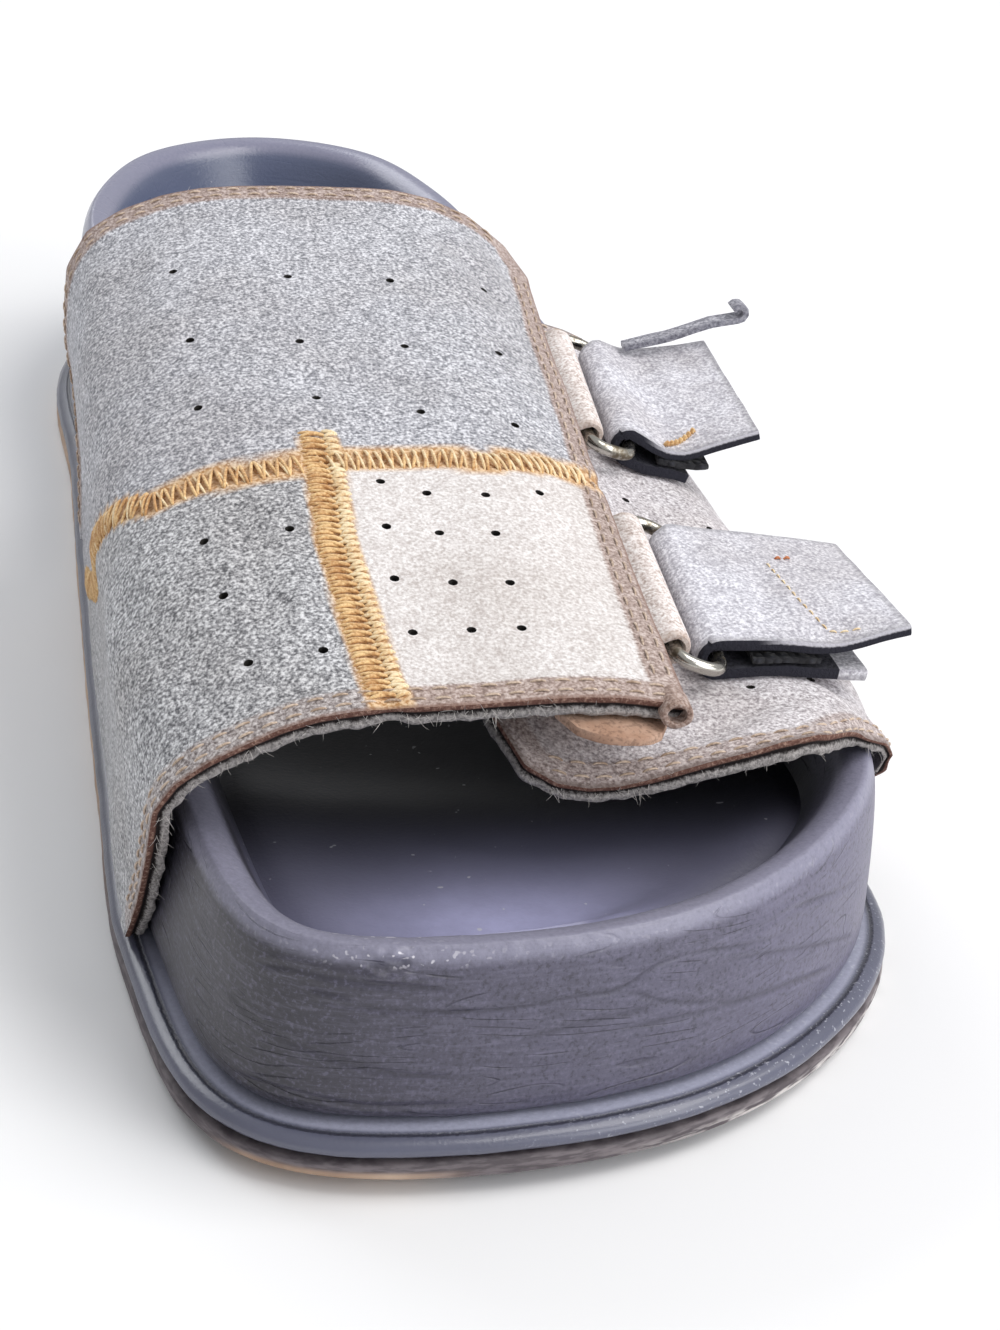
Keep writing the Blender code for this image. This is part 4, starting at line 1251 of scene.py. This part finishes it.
# Sole
TOE_CREASES = [
    Crease(0.26, 0.32, [
        (-36.9, -118.8, 20.3), (-33.0, -123.4, 22.8), (-28.0, -125.5, 23.5), (-21.2, -127.0, 23.1),
        (-14.4, -127.5, 22.8), (-7.3, -127.6, 22.7), (-0.8, -127.2, 23.2), (4.8, -126.3, 23.3),
        (9.5, -125.1, 25.5), (14.8, -123.5, 25.5), (22.7, -120.0, 23.7), (30.6, -114.7, 21.8),
    ]),
    Crease(0.24, 0.32, [
        (4.8, -126.3, 23.3), (10.0, -125.3, 20.6), (14.8, -124.0, 18.8), (21.3, -121.2, 16.9),
    ]),
    Crease(0.22, 0.42, [
        (-39.7, -111.9, 19.9), (-37.8, -117.5, 19.4), (-34.5, -122.4, 18.2), (-28.9, -125.6, 16.8),
        (-23.8, -127.1, 15.4), (-18.5, -127.9, 14.5), (-10.2, -128.2, 14.0),
    ]),
    Crease(0.22, 0.42, [
        (3.3, -126.9, 17.6), (11.0, -125.2, 17.6), (17.6, -123.0, 17.0), (29.4, -116.1, 14.8),
        (39.1, -107.4, 10.6),
    ]),
    Crease(0.28, 0.36, [(-30.9, -124.1, 25.2), (-27.4, -125.6, 24.7), (-24.1, -126.5, 23.8)]),
    Crease(0.30, 0.39, [
        (-36.5, -118.7, 25.1), (-32.0, -123.3, 27.0), (-26.0, -125.8, 26.6), (-19.1, -126.9, 26.0),
        (-13.4, -127.3, 25.4),
    ]),
    Crease(0.26, 0.36, [
        (19.7, -121.3, 25.9), (23.9, -119.2, 25.6), (30.2, -114.8, 25.1), (41.6, -103.4, 20.3),
    ]),
    Crease(0.20, 0.42, [
        (-38.3, -117.6, 9.6), (-32.0, -124.5, 11.0), (-23.1, -127.4, 10.3), (-12.0, -128.0, 10.6),
    ]),
    Crease(0.24, 0.36, [
        (16.9, -122.9, 23.0), (22.9, -120.0, 22.0), (32.2, -113.7, 18.1), (43.5, -101.9, 11.1),
    ]),
    Crease(0.18, 0.5, [(-8.0, -128.0, 18.4), (2.0, -127.0, 19.6), (10.0, -125.4, 20.0)]),
]
RIM_NICK = Crease(0.85, 0.6, [(-25.2, -125.6, 28.9), (-22.0, -126.1, 28.7), (-19.0, -126.4, 29.1)])
NICK_X, NICK_REACH = -21, 7
DISH_HIGHLIGHT_MIDDLE = (-6, -113)
DISH_HIGHLIGHT_REACH = (17, 11)
RIM_TOE_Z, RIM_HEEL_Z = 30.4, 38.0
TOE_Y, HEEL_Y = -128.4, 135.5
TOE_WALL_BACK_Y = -98
TOE_WALL_Z = (7, 31.5)
CREASE_SHADE_FULL_DEPTH = 0.26


def front_wall_refined(piece, cuts):
    """Divides the toe wall's faces further, so that it can take fine creases."""
    def on_toe_wall(face):
        low, high = TOE_WALL_Z
        outward = face.normal.y < 0.2 and face.normal.z < 0.75
        return outward and face.center.y < TOE_WALL_BACK_Y * MM and low * MM < face.center.z < high * MM

    edit_faces(piece, on_toe_wall)
    bpy.ops.mesh.subdivide(number_cuts=cuts)
    bpy.ops.mesh.select_mode(type="VERT")
    bpy.ops.object.mode_set(mode="OBJECT")


def footbed():
    """The moulded footbed, creased round its toe wall and roughened along its rim, and marked for the
    painted highlights on its rim and dish and the painted shade in its creases.
    """
    piece = copied_solid("footbed")
    rounded(piece, 2)
    front_wall_refined(piece, 4)
    spots, normals = places(piece)
    x, y, z = spots.T
    upward = normals[:, 2]
    below_crest = RIM_TOE_Z + (RIM_HEEL_Z - RIM_TOE_Z) * ease(y, TOE_Y, HEEL_Y) - z
    wall = ease(upward, 0.8, 0.4) * ease(z, 7.5, 9.0)
    folds = creased(spots, TOE_CREASES) * wall
    nick = creased(spots, [RIM_NICK], 0.3) * (1 + 0.9 * unevenness(spots, 1.1, 7.0))
    rough_rim = ease(np.abs(0.8 - below_crest), 2.0, 0.5) * ease(y, -85, -110)
    offset = folds + nick + 0.11 * rough_rim * unevenness(spots, 1.8, 9.0)
    offset += 0.15 * wall * unevenness(spots, 9.0, 1.0)
    pushed(piece, offset)
    beside_nick = 0.1 + 0.9 * np.exp(-((x - NICK_X) / NICK_REACH) ** 2)
    scarred = ease(np.abs(1.2 - below_crest), 1.3, 0.4) * ease(y, -90, -112)
    dish = ease(below_crest, 3.5, 6.5) * ease(upward, 0.15, 0.5)
    across, along = (spots[:, :2] - DISH_HIGHLIGHT_MIDDLE).T / np.array(DISH_HIGHLIGHT_REACH)[:, None]
    # Rim crest: painted highlight, partly rubbed wear.
    marked(piece, "rim", ease(below_crest, 2.6, 0.9))
    marked(piece, "nicked", scarred * beside_nick)
    marked(piece, "dish", dish)
    marked(piece, "wall", wall)
    # Painted highlight in the middle of the dish's front.
    marked(piece, "wear_and_highlight", dish * np.exp(-(across**2) - along**2))
    # Depth of the creases and the nick, which the material paints as shade.
    marked(piece, "fold", np.clip(-(folds + nick) / CREASE_SHADE_FULL_DEPTH, 0, 1))
    smooth_shaded(piece)
    finished(piece, "footbed_foam", [footbed_rubber()], "footbed")
    return piece


def sole_band(name, slot, material, size, seed):
    """The welt or the outsole, with small uneven places along its edge."""
    piece = copied_solid(name)
    rounded(piece, 2)
    spots, normals = places(piece)
    edge = ease(np.abs(normals[:, 2]), 0.9, 0.5)
    pushed(piece, edge * (0.12 * unevenness(spots, size, seed) + 0.08 * unevenness(spots, size / 4, seed)))
    steps = np.arange(TOE_Y - 4, HEEL_Y + 8, 4.0)
    bottoms = [spots[np.abs(spots[:, 1] - step) < 4.0, 2].min() for step in steps]
    marked(piece, "lift", spots[:, 2] - np.interp(spots[:, 1], steps, bottoms))
    smooth_shaded(piece)
    finished(piece, slot, [material], name)
    return piece


def wall_gap(welt, above_it):
    """Marks each point of the welt with its distance from the foot of the footbed's wall."""
    wall = skin(above_it)
    spots, _ = places(welt)
    marked(welt, "wall_gap", [wall.find_nearest(Vector(spot))[3] for spot in spots])


# Stage, light and camera
PHOTO_SIZE = (1000, 1330)
PHOTO_FOCAL = 1300.47
CAMERA_PLACE = Vector((-76.74, -363.96, 199.74))
CAMERA_PITCH, CAMERA_YAW, CAMERA_ROLL = 29.64, 2.96, -1.01
SHOE_MIDDLE = (745.0, 648.0)
CLOSER = 2.08


def camera():
    """The photograph's viewpoint, turned to the one shoe and brought closer by its lens."""
    pitch, yaw, roll = (math.radians(a) for a in (CAMERA_PITCH, CAMERA_YAW, CAMERA_ROLL))
    ahead = Vector((math.sin(yaw) * math.cos(pitch), math.cos(yaw) * math.cos(pitch), -math.sin(pitch)))
    level = Vector((math.cos(yaw), -math.sin(yaw), 0))
    upright = level.cross(ahead)
    right = math.cos(roll) * level + math.sin(roll) * upright
    up = right.cross(ahead)
    across = (SHOE_MIDDLE[0] - PHOTO_SIZE[0] / 2) / PHOTO_FOCAL
    down = (SHOE_MIDDLE[1] - PHOTO_SIZE[1] / 2) / PHOTO_FOCAL
    ahead = (ahead + right * across - up * down).normalized()
    right = (right - ahead * right.dot(ahead)).normalized()
    up = right.cross(ahead)
    turn = Matrix((right, up, -ahead)).transposed().to_4x4()
    turn.translation = CAMERA_PLACE * MM
    data = bpy.data.cameras.new("photo_camera")
    data.sensor_width = 36.0
    data.lens = CLOSER * PHOTO_FOCAL / PHOTO_SIZE[1] * data.sensor_width
    data.clip_start = 0.01
    eye = bpy.data.objects.new("photo_camera", data)
    eye.matrix_world = turn
    bpy.context.scene.collection.objects.link(eye)
    bpy.context.scene.camera = eye


Lamp = namedtuple("Lamp", "name place target size power colour")
LAMPS = [
    Lamp("key_lamp", (0.55, -0.2, 0.95), (0.0, -0.02, 0.02), (0.7, 0.7), 7.5, (1.0, 0.985, 0.97)),
    Lamp("front_lamp", (0.75, -0.85, 0.5), (0.0, -0.08, 0.02), (0.7, 0.7), 5.5, (0.97, 0.98, 1.0)),
    Lamp("back_lamp", (-0.35, 0.85, 0.7), (0.0, 0.05, 0.02), (0.8, 0.5), 4.5, (0.95, 0.97, 1.0)),
]
FLOOR_SIZE = 60.0
ROOM_COLOUR = (0.97, 0.98, 1.0, 1.0)
ROOM_LIGHT = 0.5


def soft_light(lamp):
    data = bpy.data.lights.new(lamp.name, "AREA")
    data.shape = "RECTANGLE"
    data.size, data.size_y = lamp.size
    data.energy = lamp.power
    data.color = lamp.colour
    made = bpy.data.objects.new(lamp.name, data)
    made.location = lamp.place
    facing = Vector(lamp.target) - Vector(lamp.place)
    made.rotation_euler = facing.to_track_quat("-Z", "Y").to_euler()
    bpy.context.scene.collection.objects.link(made)


def studio():
    """A pale floor, a light room and three broad soft lamps."""
    bpy.ops.object.select_all(action="DESELECT")
    bpy.ops.mesh.primitive_plane_add(size=FLOOR_SIZE, location=(0, 0, 0))
    floor = bpy.context.object
    floor.name = "studio_floor"
    material, tree, shader = new_material("studio_floor")
    mottle = grain(tree, object_place(tree), 60.0, 2.0)
    pale = laid(tree, mottle, (0.86, 0.86, 0.865), (0.88, 0.88, 0.885))
    wired(tree, shader, colour=pale, roughness=0.9, specular=0.1)
    floor.data.materials.append(material)
    world = bpy.data.worlds.new("light_room")
    world.use_nodes = True
    room = world.node_tree.nodes["Background"].inputs
    room["Color"].default_value = ROOM_COLOUR
    room["Strength"].default_value = ROOM_LIGHT
    bpy.context.scene.world = world
    for lamp in LAMPS:
        soft_light(lamp)
    bpy.context.scene.view_settings.view_transform = "Standard"


# Shared models and materials
stitch_model = modelled_stitch()
fibre_model = modelled_fibre()
lining_material = felt_lining()
edge_material = cut_edge("cut_leather_edge", (0.15, 0.075, 0.06), (0.025, 0.02, 0.02), (0.46, 0.43, 0.42))
hole_material = pinhole_shade()
strap_material = plain_suede("strap_suede", STRAP_GREY, 0.45, (0.20, 0.195, 0.21))
strap_edge_material = strap_edge()
loop_material = leather("loop_side", (0.018, 0.018, 0.026), (0.06, 0.06, 0.075), 0.4)
brass_material = aged_brass()
ochre_thread = thread("ochre_thread", (0.52, 0.27, 0.10), (0.85, 0.60, 0.30))
straw_thread = thread("straw_thread", (0.70, 0.47, 0.23), (0.93, 0.79, 0.53))
rust_thread = thread("rust_thread", (0.40, 0.11, 0.04), (0.72, 0.30, 0.12))
tan_thread = thread("tan_thread", (0.34, 0.24, 0.17), (0.66, 0.53, 0.42))

# The shoe
bed = footbed()
wall_gap(sole_band("welt", "welt_rubber", welt_rubber(), 7.0, 2.0), bed)
sole_band("outsole", "gum_rubber", gum_rubber(), 9.0, 6.0)
main = main_panel()
side = side_panel()
patch_seams(main)
hem_rows(main, side)
edge_lint(main, side)
rolled_corner()
rear_strap = strap("strap_rear", [
    Crease(0.30, 1.6, [(36, -26, 47), (38, -14, 47.5), (37, -3, 48)]),
], StrapLook(0.7, 38.5, 4.0, 42.7, 60.0))
front_strap = strap("strap_front", [
    Crease(0.30, 1.6, [(35, -81, 44), (37, -69, 44), (36, -57, 44)]),
], StrapLook(1.0, 43.0, 5.5, 40.6, 43.5))
rear_tack = [(35.6, -27.6), (38.5, -26.2), (41.2, -24.2)]
front_tack = [(41.0, -62.2), (43.8, -61.6)]
front_box = [(39.5, -63.6), (40.1, -69.0), (40.7, -74.0), (41.8, -79.0), (42.6, -81.2), (46.9, -81.3)]
strap_rows(rear_strap, "strap_rear_tack", rear_tack, 0.95, 0.4, ochre_thread)
strap_rows(front_strap, "strap_front_tack", front_tack, 1.1, 0.2, rust_thread)
strap_rows(front_strap, "strap_front_box", front_box, 1.5, 0.12, straw_thread)
tail_suede = plain_suede("tail_ribbon", TAIL_GREY, 0.4, (0.10, 0.10, 0.13))
small_leather("strap_rear_tail", tail_suede, "strap_suede")
keeper_suede = plain_suede("keeper_suede", KEEPER_BEIGE, 0.5, (0.42, 0.30, 0.23))
small_leather("ring_keeper_rear", keeper_suede, "tan_leather")
small_leather("ring_keeper_front", keeper_suede, "tan_leather")
small_leather("front_tab", leather("rust_leather", (0.42, 0.25, 0.17), (0.66, 0.46, 0.35)), "tan_leather")
tape = hook_tape()
small_leather("hook_patch_rear", tape, "hook_tape")
small_leather("hook_patch_front", tape, "hook_tape")
wire_ring("ring_rear")
wire_ring("ring_front")
for model in (stitch_model, fibre_model):
    bpy.data.objects.remove(model)
studio()
camera()
